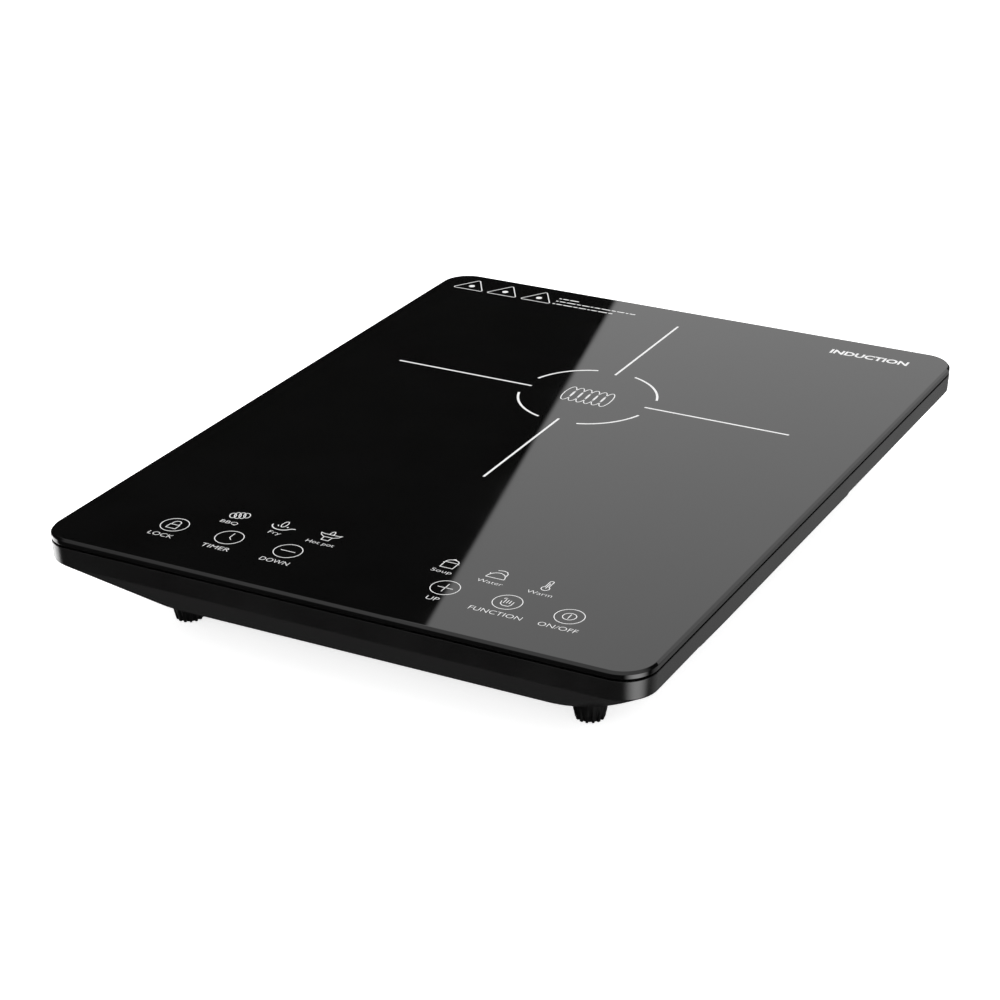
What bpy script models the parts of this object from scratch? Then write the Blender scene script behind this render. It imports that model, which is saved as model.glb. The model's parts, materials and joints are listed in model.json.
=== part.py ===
"""A portable single-zone electric induction cooktop, as it would come apart on a bench.

Every size below is in millimetres and is turned into metres where a mesh is made. +Z is up and the
origin is on the surface that the feet stand on, under the middle of the glass: +X points right along
the row of keys, and +Y points to the back.
"""

import math

import bmesh
import bpy
from mathutils import Matrix, Vector

MM = 0.001
GAP = 0.3  # clearance left wherever one piece rests on another

# The glass plate, which sets the size of everything else
WIDTH, DEPTH, HEIGHT = 280.0, 360.0, 49.5
HALF_X, HALF_Y = WIDTH / 2, DEPTH / 2
CORNER = 14.6
GLASS = 3.1
GLASS_CHAMFER = (0.95, 1.1)  # across, down
GLASS_LOW = HEIGHT - GLASS

# The frame that the glass is bonded to: a wall with an inward ledge
SHADOW_GAP = 1.0
RIM_TOP = GLASS_LOW - SHADOW_GAP
WALL_LOW = HEIGHT - 12.4
WALL_DRAFT = 0.45
WALL = 2.0
LEDGE_INSET = 12.0
LEDGE_TOP, LEDGE_LOW = 43.9, 41.4
SEAL_INSETS = (2.9, 8.0)

# The tray below it: a shoulder under the wall, four slopes and a flat base
BASE_Z = HEIGHT - 36.7
BASE_INSET_X, BASE_INSET_Y = 19.0, 25.5
BASE_CORNER = 35.0
BASE_EDGE = 2.5  # rounding where the slopes meet the base
TRAY_WALL = 2.4
TRAY_TOP = WALL_LOW - GAP
TONGUE_TOP = LEDGE_LOW - 0.6
FLOOR = BASE_Z + TRAY_WALL

# Air vents: a raised panel of upright slots on each side slope, and a grille under the fan
VENT_COUNT, VENT_PITCH, VENT_SLOT = 23, 5.5, 2.8
VENT_MIDDLE_Y = -23.5
VENT_Z = (BASE_Z + 5.0, BASE_Z + 18.0)
VENT_PROUD = 0.8
GRILLE_PITCH, GRILLE_SLOT, GRILLE_RADIUS = 5.82, 3.0, 36.0

# Feet and case screws
FOOT_AT = (96.7, 136.2)
FOOT_TOP_R, FOOT_LOW_R = 7.8, 6.8
FOOT_TEETH = 14
SCREW_AT = (112.0, 98.0)
FOOT_HOLE = 3.5
SCREW_BOSS, SCREW_PILOT = 3.8, 1.8  # radii in the frame
SCREW_RIM, SCREW_RECESS, SCREW_SHAFT = 6.2, 4.2, 1.9  # radii in the tray
SCREW_SEAT = BASE_Z + 2.6
ARM_DEEP, ARM_THICK = 12.2, 3.0  # the arms that tie the frame's screw bosses to its ledge

# Cord gland in the back slope
GLAND_AT = (70.0, 24.6)  # x, z
GLAND_BOSS = (24.0, 15.0)  # width, height
GLAND_FACE_Y = 176.0
GLAND_BORE = 3.8
GLAND_HOLE = 6.2

# Induction coil, on three posts
COIL_Y = 56.4
FORMER_Z = 35.5
FORMER_R = 86.0
LUG_R = 90.0
COIL_TURNS, COIL_PITCH, COIL_INNER = 12, 4.8, 22.5
STRAND = (4.2, 3.2)  # width, height of the flattened winding wire
FERRITE = (52.0, 9.0, 4.2)
FERRITE_FROM = 26.0
SHEET_INNER, SHEET_OUTER, SHEET = 10.0, 83.0, 0.5

# Temperature sensor, pressed up against the glass by a spring
SENSOR_HEAD = (7.5, 3.2)  # radius, height
SENSOR_STEM = 2.6
SPRING_LOW, SPRING_R = FORMER_Z + 2.8, 5.0

# Cooling fan
FAN_AT = (-58.0, 60.0)
FAN_SIDE, FAN_DEEP, FAN_OPENING = 80.0, 15.0, 37.5
FAN_BLADES = 7
FAN_HOLES = FAN_SIDE / 2 - 4.3

# Circuit boards
BOARD = (206.0, 72.0, 1.6)
BOARD_AT = (0.0, -72.0, 19.8)
BOARD_POST = (96.0, 30.0)
PANEL = (206.0, 46.0, 1.6)
PANEL_AT = (0.0, -141.0, 38.0)
PANEL_POST = (79.0, -126.0)
BOARD_TOP = BOARD_AT[2] + BOARD[2] / 2 + GAP  # where the parts on each board start
PANEL_TOP = PANEL_AT[2] + PANEL[2] / 2 + GAP
POST, LUG_POST, POST_PILOT, PILOT_DEEP = 3.4, 4.0, 1.5, 9.0
SCREW_HOLE = 1.7
KEY_XS = (-93.0, -65.6, -37.0, 37.0, 65.6, 93.0)
KEY_Y = -147.2
KEY_NAMES = ("lock", "timer", "down", "up", "function", "on_off")

ARC_STEPS = 8  # facets round a quarter of the plate's corners


# ---------------------------------------------------------------- materials


def material(name, colour, roughness, metallic=0.0):
    made = bpy.data.materials.new(name)
    made.use_nodes = True
    shader = made.node_tree.nodes["Principled BSDF"]
    shader.inputs["Base Color"].default_value = (*colour, 1.0)
    shader.inputs["Roughness"].default_value = roughness
    shader.inputs["Metallic"].default_value = metallic
    return made


# ---------------------------------------------------------------- meshes


def add_object(name, form, finish, at=(0.0, 0.0, 0.0)):
    """The form, drawn in millimetres, as an object in metres whose origin is at the point given."""
    bmesh.ops.recalc_face_normals(form, faces=form.faces)
    bmesh.ops.scale(form, vec=(MM, MM, MM), verts=form.verts)
    mesh = bpy.data.meshes.new(name)
    form.to_mesh(mesh)
    form.free()
    mesh.shade_smooth()
    mesh.set_sharp_from_angle(angle=math.radians(35))
    mesh.materials.append(finish)
    made = bpy.data.objects.new(name, mesh)
    made.location = Vector(at) * MM
    bpy.context.scene.collection.objects.link(made)
    return made


def combine(target, operation, form, at=(0.0, 0.0, 0.0)):
    """Joins the form to the target, or cuts it from the target."""
    tool = add_object(f"{target.name}_{operation.lower()}", form, target.data.materials[0], at)
    tool.hide_render = True
    tool.display_type = "WIRE"
    change = target.modifiers.new(tool.name, "BOOLEAN")
    change.operation = operation
    change.object = tool
    change.solver = "EXACT"


def cut(target, form, at=(0.0, 0.0, 0.0)):
    combine(target, "DIFFERENCE", form, at)


def fuse(target, form, at=(0.0, 0.0, 0.0)):
    combine(target, "UNION", form, at)


def loft_into(form, rings, closed=False):
    """Skins a row of rings of equal length; a closed row makes a ring, an open one is capped."""
    loops = [[form.verts.new(point) for point in ring] for ring in rings]
    pairs = list(zip(loops, loops[1:]))
    if closed:
        pairs.append((loops[-1], loops[0]))
    else:
        form.faces.new(loops[0][::-1])
        form.faces.new(loops[-1])
    for low, high in pairs:
        for i, here in enumerate(low):
            after = (i + 1) % len(low)
            form.faces.new((here, low[after], high[after], high[i]))
    return form


def loft(rings, closed=False):
    return loft_into(bmesh.new(), rings, closed)


def rounded(half_x, half_y, radius, z, steps=ARC_STEPS):
    """A rectangle with round corners at one height, as a ring of points."""
    ring = []
    for turn, (side_x, side_y) in enumerate(((1, 1), (-1, 1), (-1, -1), (1, -1))):
        for step in range(steps + 1):
            angle = math.radians(90 * (turn + step / steps))
            x = side_x * (half_x - radius) + radius * math.cos(angle)
            y = side_y * (half_y - radius) + radius * math.sin(angle)
            ring.append((x, y, z))
    return ring


def plate_ring(inset, z):
    """The plate's outline, drawn in from its edge by the inset."""
    return rounded(HALF_X - inset, HALF_Y - inset, max(CORNER - inset, 2.0), z)


def circle(radius, z, steps):
    turns = [2 * math.pi * step / steps for step in range(steps)]
    return [(radius * math.cos(turn), radius * math.sin(turn), z) for turn in turns]


def turned(profile, steps, closed=False):
    """Turns a profile of (radius, height) points about Z; a closed profile makes a ring."""
    return loft([circle(radius, z, steps) for radius, z in profile], closed)


def prism(outline, low, high):
    """A flat outline in X and Y, raised from one height to the other."""
    return loft([[(x, y, low) for x, y in outline], [(x, y, high) for x, y in outline]])


def block(size, middle=(0.0, 0.0, 0.0), edge=0.0):
    """A block about the middle, its edges rounded by the amount given."""
    form = bmesh.new()
    add_block(form, size, middle)
    if edge:
        bmesh.ops.bevel(form, geom=form.edges[:], offset=edge, segments=1, affect="EDGES")
    return form


def add_block(form, size, middle, turn=0.0):
    place = Matrix.Rotation(turn, 4, "Z") @ Matrix.Translation(middle) @ Matrix.Diagonal((*size, 1.0))
    bmesh.ops.create_cube(form, size=1.0, matrix=place)


def add_pillar(form, x, y, radius, low, high, steps=12):
    """An upright round bar about a point, from one height to the other."""
    ring = [(x + px, y + py) for px, py, _ in circle(radius, 0.0, steps)]
    loft_into(form, [[(px, py, z) for px, py in ring] for z in (low, high)])


def lay_back(form):
    """Turns a form from upright to pointing at the back."""
    bmesh.ops.rotate(form, matrix=Matrix.Rotation(math.radians(-90), 3, "X"), verts=form.verts)


def helix(radius, pitch, turns, wire, steps):
    """A round spring about Z of square wire, its first turn starting at height 0."""
    shares = [step / steps for step in range(round(turns * steps) + 1)]
    path = [(radius, 2 * math.pi * share, pitch * share) for share in shares]
    return swept_square(path, wire, wire)


def swept_square(path, width, height):
    """A bar of rectangular section along (radius, turn, height) points about Z."""
    rings = []
    for radius, turn, z in path:
        across = Vector((math.cos(turn), math.sin(turn), 0.0))
        corners = ((-0.5, -0.5), (0.5, -0.5), (0.5, 0.5), (-0.5, 0.5))
        rings.append([across * (radius + u * width) + Vector((0, 0, z + v * height)) for u, v in corners])
    return loft(rings)


def wire_tube(path, radius, steps=6):
    """A round lead through the points, each of its rings square to the path."""
    points = [Vector(point) for point in path]
    rings = []
    for i, point in enumerate(points):
        along = (points[min(i + 1, len(points) - 1)] - points[max(i - 1, 0)]).normalized()
        side = along.cross(Vector((1, 0, 0)) if abs(along.x) < 0.9 else Vector((0, 1, 0))).normalized()
        up = along.cross(side)
        turns = [2 * math.pi * step / steps for step in range(steps)]
        rings.append([point + (side * math.cos(t) + up * math.sin(t)) * radius for t in turns])
    return loft(rings)


def screw_form(head_radius, head_height, shank_radius, length):
    """A pan-head screw whose head sits on height 0 and whose shank points down."""
    profile = (
        (shank_radius * 0.5, -length),
        (shank_radius, -length + 1.5),
        (shank_radius, 0.0),
        (head_radius, 0.0),
        (head_radius * 0.95, head_height * 0.6),
        (head_radius * 0.6, head_height),
    )
    return turned(profile, 10)


def four_corners(x, y):
    """The four signed copies of a point, with the names of the corners."""
    return (
        ("front_left", -x, -y),
        ("front_right", x, -y),
        ("rear_left", -x, y),
        ("rear_right", x, y),
    )


# ---------------------------------------------------------------- the casing


def glass_plate(finish):
    across, down = GLASS_CHAMFER
    rings = (
        plate_ring(0.3, GLASS_LOW),
        plate_ring(0.0, GLASS_LOW + 0.3),
        plate_ring(0.0, HEIGHT - down),
        plate_ring(across, HEIGHT),
    )
    add_object("glass_plate", loft(rings), finish)


def glass_seal(finish):
    outer, inner = SEAL_INSETS
    low, high = LEDGE_TOP + GAP, GLASS_LOW - GAP
    corners = ((outer, low), (outer, high), (inner, high), (inner, low))
    rings = [plate_ring(inset, z) for inset, z in corners]
    add_object("glass_seal", loft(rings, closed=True), finish)


def top_frame(finish):
    profile = (
        (0.25, RIM_TOP),
        (0.0, RIM_TOP - 0.25),
        (WALL_DRAFT, WALL_LOW),
        (WALL_DRAFT + WALL, WALL_LOW),
        (WALL + 0.2, LEDGE_LOW),
        (LEDGE_INSET, LEDGE_LOW),
        (LEDGE_INSET, LEDGE_TOP),
        (WALL, LEDGE_TOP),
        (WALL, RIM_TOP),
    )
    frame = add_object("top_frame", loft([plate_ring(*point) for point in profile], closed=True), finish)
    bosses = bmesh.new()
    pilots = bmesh.new()
    arms = bmesh.new()
    arm_outer = HALF_X - LEDGE_INSET + 2.0
    arm_inner = SCREW_AT[0] - 1.0
    arm_top = LEDGE_LOW + 1.2
    size = (arm_outer - arm_inner, ARM_THICK, ARM_DEEP)
    for _, x, y in four_corners(*SCREW_AT):
        add_pillar(bosses, x, y, SCREW_BOSS, FLOOR + 2.8, LEDGE_LOW + 1.0)
        add_pillar(pilots, x, y, SCREW_PILOT, FLOOR + 1.0, FLOOR + 18.0, 8)
        middle_x = math.copysign((arm_outer + arm_inner) / 2, x)
        add_block(arms, size, (middle_x, y, arm_top - ARM_DEEP / 2))
    fuse(frame, arms)
    fuse(frame, bosses)
    cut(frame, pilots)


def tray_ring(inset_x, inset_y, radius, z):
    return rounded(HALF_X - inset_x, HALF_Y - inset_y, radius, z)


def slope_insets(z):
    """How far in the slopes are at a height, along X and Y, and how far down them that is from 0 to 1."""
    top = WALL_DRAFT + GAP
    share = (TRAY_TOP - z) / (TRAY_TOP - BASE_Z)
    return top + share * (BASE_INSET_X - top), top + share * (BASE_INSET_Y - top), share


def slope_x(z):
    """How far out the side slope is at a height."""
    return HALF_X - slope_insets(z)[0]


def slope_ring(z, inward=0.0):
    """The tray's outline at a height on its slopes, drawn in by the wall thickness."""
    inset_x, inset_y, share = slope_insets(z)
    radius = CORNER + share * (BASE_CORNER - CORNER)
    return tray_ring(inset_x + inward, inset_y + inward, radius - inward, z)


def bottom_case(finish):
    tongue = WALL_DRAFT + WALL + GAP + 0.1
    rings = (
        slope_ring(FLOOR, TRAY_WALL),
        slope_ring(TRAY_TOP - 2.0, TRAY_WALL + 2.0),
        plate_ring(tongue + 1.8, TONGUE_TOP),
        plate_ring(tongue, TONGUE_TOP),
        plate_ring(tongue, TRAY_TOP),
        slope_ring(TRAY_TOP),
        slope_ring(BASE_Z + BASE_EDGE, 0.0),
        slope_ring(BASE_Z + BASE_EDGE * 0.3, 0.7),
        tray_ring(BASE_INSET_X + 2.4, BASE_INSET_Y + 2.4, BASE_CORNER - 2.4, BASE_Z),
    )
    case = add_object("bottom_case", loft(rings), finish)
    posts = bmesh.new()
    pilots = bmesh.new()
    for x, y, top, radius in case_posts():
        add_pillar(posts, x, y, radius, FLOOR - 1.0, top, 10)
        add_pillar(pilots, x, y, POST_PILOT, max(top - PILOT_DEEP, FLOOR + 1.0), top + 1.0, 10)
    fuse(case, posts)
    cut(case, pilots)
    screw_sockets(case)
    foot_holes = bmesh.new()
    for _, x, y in four_corners(*FOOT_AT):
        add_pillar(foot_holes, x, y, FOOT_HOLE, BASE_Z - 2.0, FLOOR + 2.0)
    cut(case, foot_holes)
    side_vents(case)
    fan_grille(case)
    gland_mouth(case)


def case_posts():
    """(x, y, top, radius) of each screw post that stands on the floor."""
    board_low = BOARD_AT[2] - BOARD[2] / 2 - GAP
    panel_low = PANEL_AT[2] - PANEL[2] / 2 - GAP
    posts = [(x, BOARD_AT[1] + y, board_low, POST) for _, x, y in four_corners(*BOARD_POST)]
    posts += [(side * PANEL_POST[0], PANEL_POST[1], panel_low, POST) for side in (-1, 1)]
    posts += [(x, y, FORMER_Z - GAP, LUG_POST) for x, y in lug_places()]
    return posts


def lug_places():
    turns = [math.radians(angle) for angle in (90, 210, 330)]
    return [(LUG_R * math.cos(turn), COIL_Y + LUG_R * math.sin(turn)) for turn in turns]


def screw_sockets(case):
    rims = bmesh.new()
    recesses = bmesh.new()
    shafts = bmesh.new()
    for _, x, y in four_corners(*SCREW_AT):
        add_pillar(rims, x, y, SCREW_RIM, FLOOR - 1.5, FLOOR + 2.4)
        add_pillar(recesses, x, y, SCREW_RECESS, BASE_Z - 2.0, SCREW_SEAT)
        add_pillar(shafts, x, y, SCREW_SHAFT, BASE_Z + 1.0, FLOOR + 4.0)
    fuse(case, rims)
    cut(case, recesses)
    cut(case, shafts)


def vent_ys():
    first = VENT_MIDDLE_Y - VENT_PITCH * (VENT_COUNT - 1) / 2
    return [first + VENT_PITCH * i for i in range(VENT_COUNT)]


def side_vents(case):
    """On each side slope a raised panel, cut through by a row of upright slots."""
    low, high = VENT_Z
    reach = VENT_PITCH * VENT_COUNT / 2 + 3.0
    for side in (-1, 1):
        rings = []
        for end, fade in ((-1, 2.5), (-1, 0.0), (1, 0.0), (1, 2.5)):
            y = VENT_MIDDLE_Y + end * (reach + fade)
            proud = VENT_PROUD if not fade else 0.0
            corners = (
                (slope_x(low - 2.0) - 1.2, low - 2.0),
                (slope_x(low - 2.0) + proud, low - 2.0),
                (slope_x(high + 2.0) + proud, high + 2.0),
                (slope_x(high + 2.0) - 1.2, high + 2.0),
            )
            rings.append([(side * x, y, z) for x, z in corners])
        fuse(case, loft(rings))
    slots = bmesh.new()
    size = (24.0, VENT_SLOT, high - low)
    middle_z = (low + high) / 2
    for side in (-1, 1):
        for y in vent_ys():
            add_block(slots, size, (side * slope_x(middle_z), y, middle_z))
    cut(case, slots)


def fan_grille(case):
    slots = bmesh.new()
    count = int(GRILLE_RADIUS // GRILLE_PITCH)
    for i in range(-count, count + 1):
        offset = GRILLE_PITCH * i
        half = math.sqrt(GRILLE_RADIUS**2 - offset**2)
        add_block(slots, (2 * half, GRILLE_SLOT, 8.0), (FAN_AT[0], FAN_AT[1] + offset, BASE_Z + 1.0))
    cut(case, slots)


def gland_mouth(case):
    x, z = GLAND_AT
    width, height = GLAND_BOSS
    fuse(case, block((width, 20.0, height), (x, GLAND_FACE_Y - 10.0, z), edge=1.0))
    bore = turned(((GLAND_HOLE, -16.0), (GLAND_HOLE, 12.0)), 16)
    lay_back(bore)
    bmesh.ops.translate(bore, vec=(x, GLAND_FACE_Y - 8.0, z), verts=bore.verts)
    cut(case, bore)


def cord_gland(finish):
    """A rubber grommet: a flange outside the case, a sleeve through the boss, and an open bore."""
    profile = (
        (GLAND_BORE, 0.0),
        (5.8, 0.0),
        (5.8, 15.6),
        (8.6, 15.6),
        (8.6, 17.0),
        (6.6, 18.4),
        (GLAND_BORE, 18.4),
    )
    form = turned(profile, 20, closed=True)
    lay_back(form)
    x, z = GLAND_AT
    add_object("cord_gland", form, finish, (x, GLAND_FACE_Y + GAP - 15.6, z))


def feet(finish):
    """Push-in rubber feet: a stem with a barb above the floor, a taper below, a toothed rim."""
    stem = 3.1
    profile = (
        (3.6, 1.6),
        (3.8, 0.0),
        (FOOT_LOW_R, 0.0),
        (FOOT_TOP_R, BASE_Z - GAP),
        (stem, BASE_Z - GAP),
        (stem, FLOOR + GAP),
        (4.1, FLOOR + GAP + 0.2),
        (2.2, FLOOR + 3.2),
    )
    for corner, x, y in four_corners(*FOOT_AT):
        foot = add_object(f"foot_{corner}", turned(profile, 28), finish, (x, y, 0.0))
        notches = bmesh.new()
        for tooth in range(FOOT_TEETH):
            turn = 2 * math.pi * tooth / FOOT_TEETH
            add_block(notches, (4.4, 1.3, 2.4), (7.0, 0.0, 0.0), turn)
        cut(foot, notches, (x, y, 0.0))


def case_screws(finish):
    for corner, x, y in four_corners(*SCREW_AT):
        form = screw_form(3.6, 2.0, 1.5, 13.0)
        bmesh.ops.rotate(form, matrix=Matrix.Rotation(math.pi, 3, "X"), verts=form.verts)
        add_object(f"case_screw_{corner}", form, finish, (x, y, SCREW_SEAT - GAP))


# ---------------------------------------------------------------- the coil


def coil_former(finish):
    top = FORMER_Z + 2.5
    lip = FORMER_Z + 4.5
    profile = (
        (3.0, FORMER_Z - 2.5),
        (8.0, FORMER_Z - 2.5),
        (8.0, FORMER_Z),
        (FORMER_R, FORMER_Z),
        (FORMER_R, lip),
        (FORMER_R - 2.0, lip),
        (FORMER_R - 2.0, top),
        (19.5, top),
        (19.5, lip),
        (17.5, lip),
        (17.5, top),
        (3.0, top),
    )
    former = add_object("coil_former", turned(profile, 42, closed=True), finish, (0.0, COIL_Y, 0.0))
    lugs = bmesh.new()
    holes = bmesh.new()
    windows = bmesh.new()
    for x, y in lug_places():
        add_pillar(lugs, x, y - COIL_Y, 6.0, FORMER_Z + 0.2, top - 0.2)
        add_pillar(holes, x, y - COIL_Y, SCREW_PILOT, FORMER_Z - 2.0, top + 2.0)
    for i in range(6):
        heading = math.radians(30 + 60 * i)
        arcs = []
        for radius, half in ((28.0, 9.0), (76.0, 21.0)):
            turns = [heading + math.radians(half * share) for share in (-1.0, -0.33, 0.33, 1.0)]
            arcs.append([(radius * math.cos(t), radius * math.sin(t)) for t in turns])
        outline = arcs[0] + arcs[1][::-1]
        loft_into(windows, [[(px, py, z) for px, py in outline] for z in (FORMER_Z - 4.0, top + 4.0)])
    middle = (0.0, COIL_Y, 0.0)
    fuse(former, lugs, middle)
    cut(former, holes, middle)
    cut(former, windows, middle)


def coil_winding(finish):
    """One flattened strand wound outwards from the hub, starting and ending at the front."""
    steps = 22
    z = FORMER_Z + 2.5 + GAP + STRAND[1] / 2
    path = []
    for step in range(COIL_TURNS * steps + 1):
        turns = step / steps
        path.append((COIL_INNER + COIL_PITCH * turns, 2 * math.pi * turns - math.pi / 2, z))
    form = swept_square(path, *STRAND)
    add_object("coil_winding", form, finish, (0.0, COIL_Y, 0.0))


def ferrite_bars(finish):
    for i in range(6):
        form = bmesh.new()
        middle = (FERRITE_FROM + FERRITE[0] / 2, 0.0, FORMER_Z - GAP - FERRITE[2] / 2)
        add_block(form, FERRITE, middle, math.radians(60 * i))
        add_object(f"ferrite_bar_{i + 1}", form, finish, (0.0, COIL_Y, 0.0))


def insulation_sheet(finish):
    low = FORMER_Z + 2.5 + GAP + STRAND[1] + GAP
    high = low + SHEET
    corners = ((SHEET_INNER, low), (SHEET_OUTER, low), (SHEET_OUTER, high), (SHEET_INNER, high))
    form = turned(corners, 36, closed=True)
    add_object("insulation_sheet", form, finish, (0.0, COIL_Y, 0.0))


def coil_screws(finish):
    for i, (x, y) in enumerate(lug_places()):
        form = screw_form(3.2, 2.0, 1.2, 9.0)
        add_object(f"coil_screw_{i + 1}", form, finish, (x, y, FORMER_Z + 2.5 + GAP))


def temperature_sensor(finish):
    radius, tall = SENSOR_HEAD
    top = GLASS_LOW - GAP
    profile = (
        (SENSOR_STEM * 0.8, FORMER_Z - 3.6),
        (SENSOR_STEM, FORMER_Z - 3.0),
        (SENSOR_STEM, top - tall),
        (radius, top - tall),
        (radius, top - 0.6),
        (radius - 0.6, top),
    )
    mount = bpy.data.objects.new("sensor_axis", None)
    mount.location = Vector((0.0, COIL_Y, 0.0)) * MM
    bpy.context.scene.collection.objects.link(mount)
    sensor = add_object("temperature_sensor", turned(profile, 20), finish)
    sensor.parent = mount


def sensor_spring(finish):
    room = GLASS_LOW - GAP - SENSOR_HEAD[1] - GAP - SPRING_LOW
    wire = 0.8
    turns = 3
    form = helix(SPRING_R, (room - wire) / turns, turns, wire, 10)
    add_object("sensor_spring", form, finish, (0.0, COIL_Y, SPRING_LOW + wire / 2))


def coil_leads(finish):
    outer = ((-12, -32, 39.5), (-12, -37, 36.5), (-12, -41, 31), (-12, -43, 26), (-12, -43, BOARD_TOP))
    inner = ((0, 34, 33), (0, 10, 32.6), (0, -26, 32.6), (0, -37, 30), (0, -42, 26), (0, -43, BOARD_TOP))
    for name, path in (("coil_lead_outer", outer), ("coil_lead_inner", inner)):
        add_object(name, wire_tube(path, 1.5), finish)


# ---------------------------------------------------------------- the fan


def fan_frame(finish):
    low, high = FLOOR + GAP, FLOOR + GAP + FAN_DEEP
    outline = [(x, y) for x, y, _ in rounded(FAN_SIDE / 2, FAN_SIDE / 2, 4.0, 0.0, 3)]
    frame = add_object("fan_frame", prism(outline, low, high), finish, (*FAN_AT, 0.0))
    cut(frame, turned(((FAN_OPENING, low - 2), (FAN_OPENING, high + 2)), 32), (*FAN_AT, 0.0))
    spider = turned(((14.0, low), (14.0, low + 1.5)), 20)
    fuse(frame, spider, (*FAN_AT, 0.0))
    struts = bmesh.new()
    for i in range(4):
        add_block(struts, (28.0, 3.0, 1.4), (26.0, 0.0, low + 0.75), math.radians(45 + 90 * i))
    fuse(frame, struts, (*FAN_AT, 0.0))
    holes = bmesh.new()
    for _, x, y in four_corners(FAN_HOLES, FAN_HOLES):
        add_pillar(holes, x, y, 2.0, low - 2, high + 2, 10)
    cut(frame, holes, (*FAN_AT, 0.0))


def fan_rotor(finish):
    """A hub on the motor's axis with pitched blades; its origin is on that axis."""
    low = FLOOR + GAP + 2.2
    high = FLOOR + GAP + FAN_DEEP - 1.0
    axis = bpy.data.objects.new("fan_axis", None)
    axis.location = Vector((*FAN_AT, 0.0)) * MM
    bpy.context.scene.collection.objects.link(axis)
    hub = turned(((13.5, low), (13.5, high - 1.0), (12.0, high)), 20)
    rotor = add_object("fan_rotor", hub, finish)
    rotor.parent = axis
    section = (
        (-1, low + 0.6, -0.02),
        (1, high - 1.6, -0.02),
        (1, high - 0.6, 0.02),
        (-1, low + 1.6, 0.02),
    )
    blades = bmesh.new()
    for i in range(FAN_BLADES):
        rings = []
        for radius, lead in ((12.0, 0.34), (24.0, 0.26), (35.8, 0.24)):
            turn = 2 * math.pi * i / FAN_BLADES + 0.012 * (radius - 12.0)
            ring = []
            for share, z, thick in section:
                t = turn + share * lead + thick * 12.0 / radius
                ring.append((radius * math.cos(t), radius * math.sin(t), z))
            rings.append(ring)
        loft_into(blades, rings)
    bmesh.ops.recalc_face_normals(blades, faces=blades.faces)
    fuse(rotor, blades, (*FAN_AT, 0.0))


def fan_screws(finish):
    top = FLOOR + GAP + FAN_DEEP + GAP
    for name, side in (("front", -1), ("rear", 1)):
        form = screw_form(2.8, 1.6, 1.3, 15.0)
        at = (FAN_AT[0] - FAN_HOLES, FAN_AT[1] + side * FAN_HOLES, top)
        add_object(f"fan_screw_{name}", form, finish, at)


# ---------------------------------------------------------------- the electronics


def board(name, size, at, posts, finish):
    made = add_object(name, block(size), finish, at)
    holes = bmesh.new()
    for x, y in posts:
        add_pillar(holes, x, y, SCREW_HOLE, at[2] - 3.0, at[2] + 3.0, 10)
    cut(made, holes)


def board_screws(finish):
    for corner, x, y in four_corners(*BOARD_POST):
        form = screw_form(3.0, 1.8, 1.2, 3.0)
        add_object(f"board_screw_{corner}", form, finish, (x, BOARD_AT[1] + y, BOARD_TOP))
    for name, side in (("left", -1), ("right", 1)):
        form = screw_form(3.0, 1.8, 1.2, 8.0)
        add_object(f"panel_screw_{name}", form, finish, (side * PANEL_POST[0], PANEL_POST[1], PANEL_TOP))


def heatsink(finish):
    """An extruded aluminium comb: a flat base with upright fins that run across the case."""
    base_low = BOARD_TOP + 5.0 + GAP
    base_top, fin_top = base_low + 3.4, base_low + 14.0
    first, pitch, fin = -103.0, 4.6, 1.6
    count = 9
    last = first + pitch * (count - 1) + fin
    outline = [(first, base_low), (last, base_low)]
    for i in reversed(range(count)):
        y = first + pitch * i
        outline += [(y + fin, fin_top), (y, fin_top)]
        if i:
            outline += [(y, base_top), (y - pitch + fin, base_top)]
    rings = [[(x, y, z) for y, z in outline] for x in (18.0, 90.0)]
    add_object("heatsink", loft(rings), finish)


def board_parts(looks):
    """Each part that stands on the power board."""
    black = looks["component_black"]
    blue = looks["capacitor_blue"]
    blocks = (
        ("power_transistor", (16.0, 20.0, 5.0), 0.6, (38.0, -84.0), black),
        ("bridge_rectifier", (26.0, 18.0, 5.0), 0.8, (70.0, -84.0), black),
        ("resonant_capacitor", (32.0, 16.0, 18.0), 1.2, (-6.0, -92.0), blue),
        ("filter_capacitor", (32.0, 14.0, 17.0), 1.2, (-6.0, -70.0), blue),
        ("switching_transformer", (20.0, 18.0, 15.0), 1.0, (-78.0, -92.0), looks["transformer_yellow"]),
        ("mains_fuse", (20.0, 6.0, 6.0), 1.5, (70.0, -50.0), looks["ceramic"]),
    )
    for name, size, edge, (x, y), finish in blocks:
        add_object(name, block(size, edge=edge), finish, (x, y, BOARD_TOP + size[2] / 2))
    buzzer = turned(((6.0, 0.0), (6.0, 7.0), (5.4, 7.6)), 16)
    add_object("buzzer", buzzer, black, (-30.0, -50.0, BOARD_TOP))
    eighths = [math.pi * step / 4 for step in range(8)]
    section = [(11.0 + 4.5 * math.cos(t), 4.5 + 4.5 * math.sin(t)) for t in eighths]
    choke = turned(section, 16, closed=True)
    add_object("filter_choke", choke, looks["copper"], (-78.0, -58.0, BOARD_TOP))


def terminal_block(finish):
    form = block((24.0, 12.0, 11.0), edge=0.8)
    add_object("terminal_block", form, finish, (66.0, 132.0, FLOOR + GAP + 5.5))


def mains_lead(finish):
    """The lead inside the case from the terminal block to the power board."""
    z = FLOOR + 2.6
    route = ((90, 126), (99, 108), (103, 80), (104, 40), (103, 0), (98, -24), (94, -33))
    path = [(79, 132, z + 2), *((x, y, z) for x, y in route)]
    add_object("mains_lead", wire_tube(path, 2.0), finish)


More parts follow.
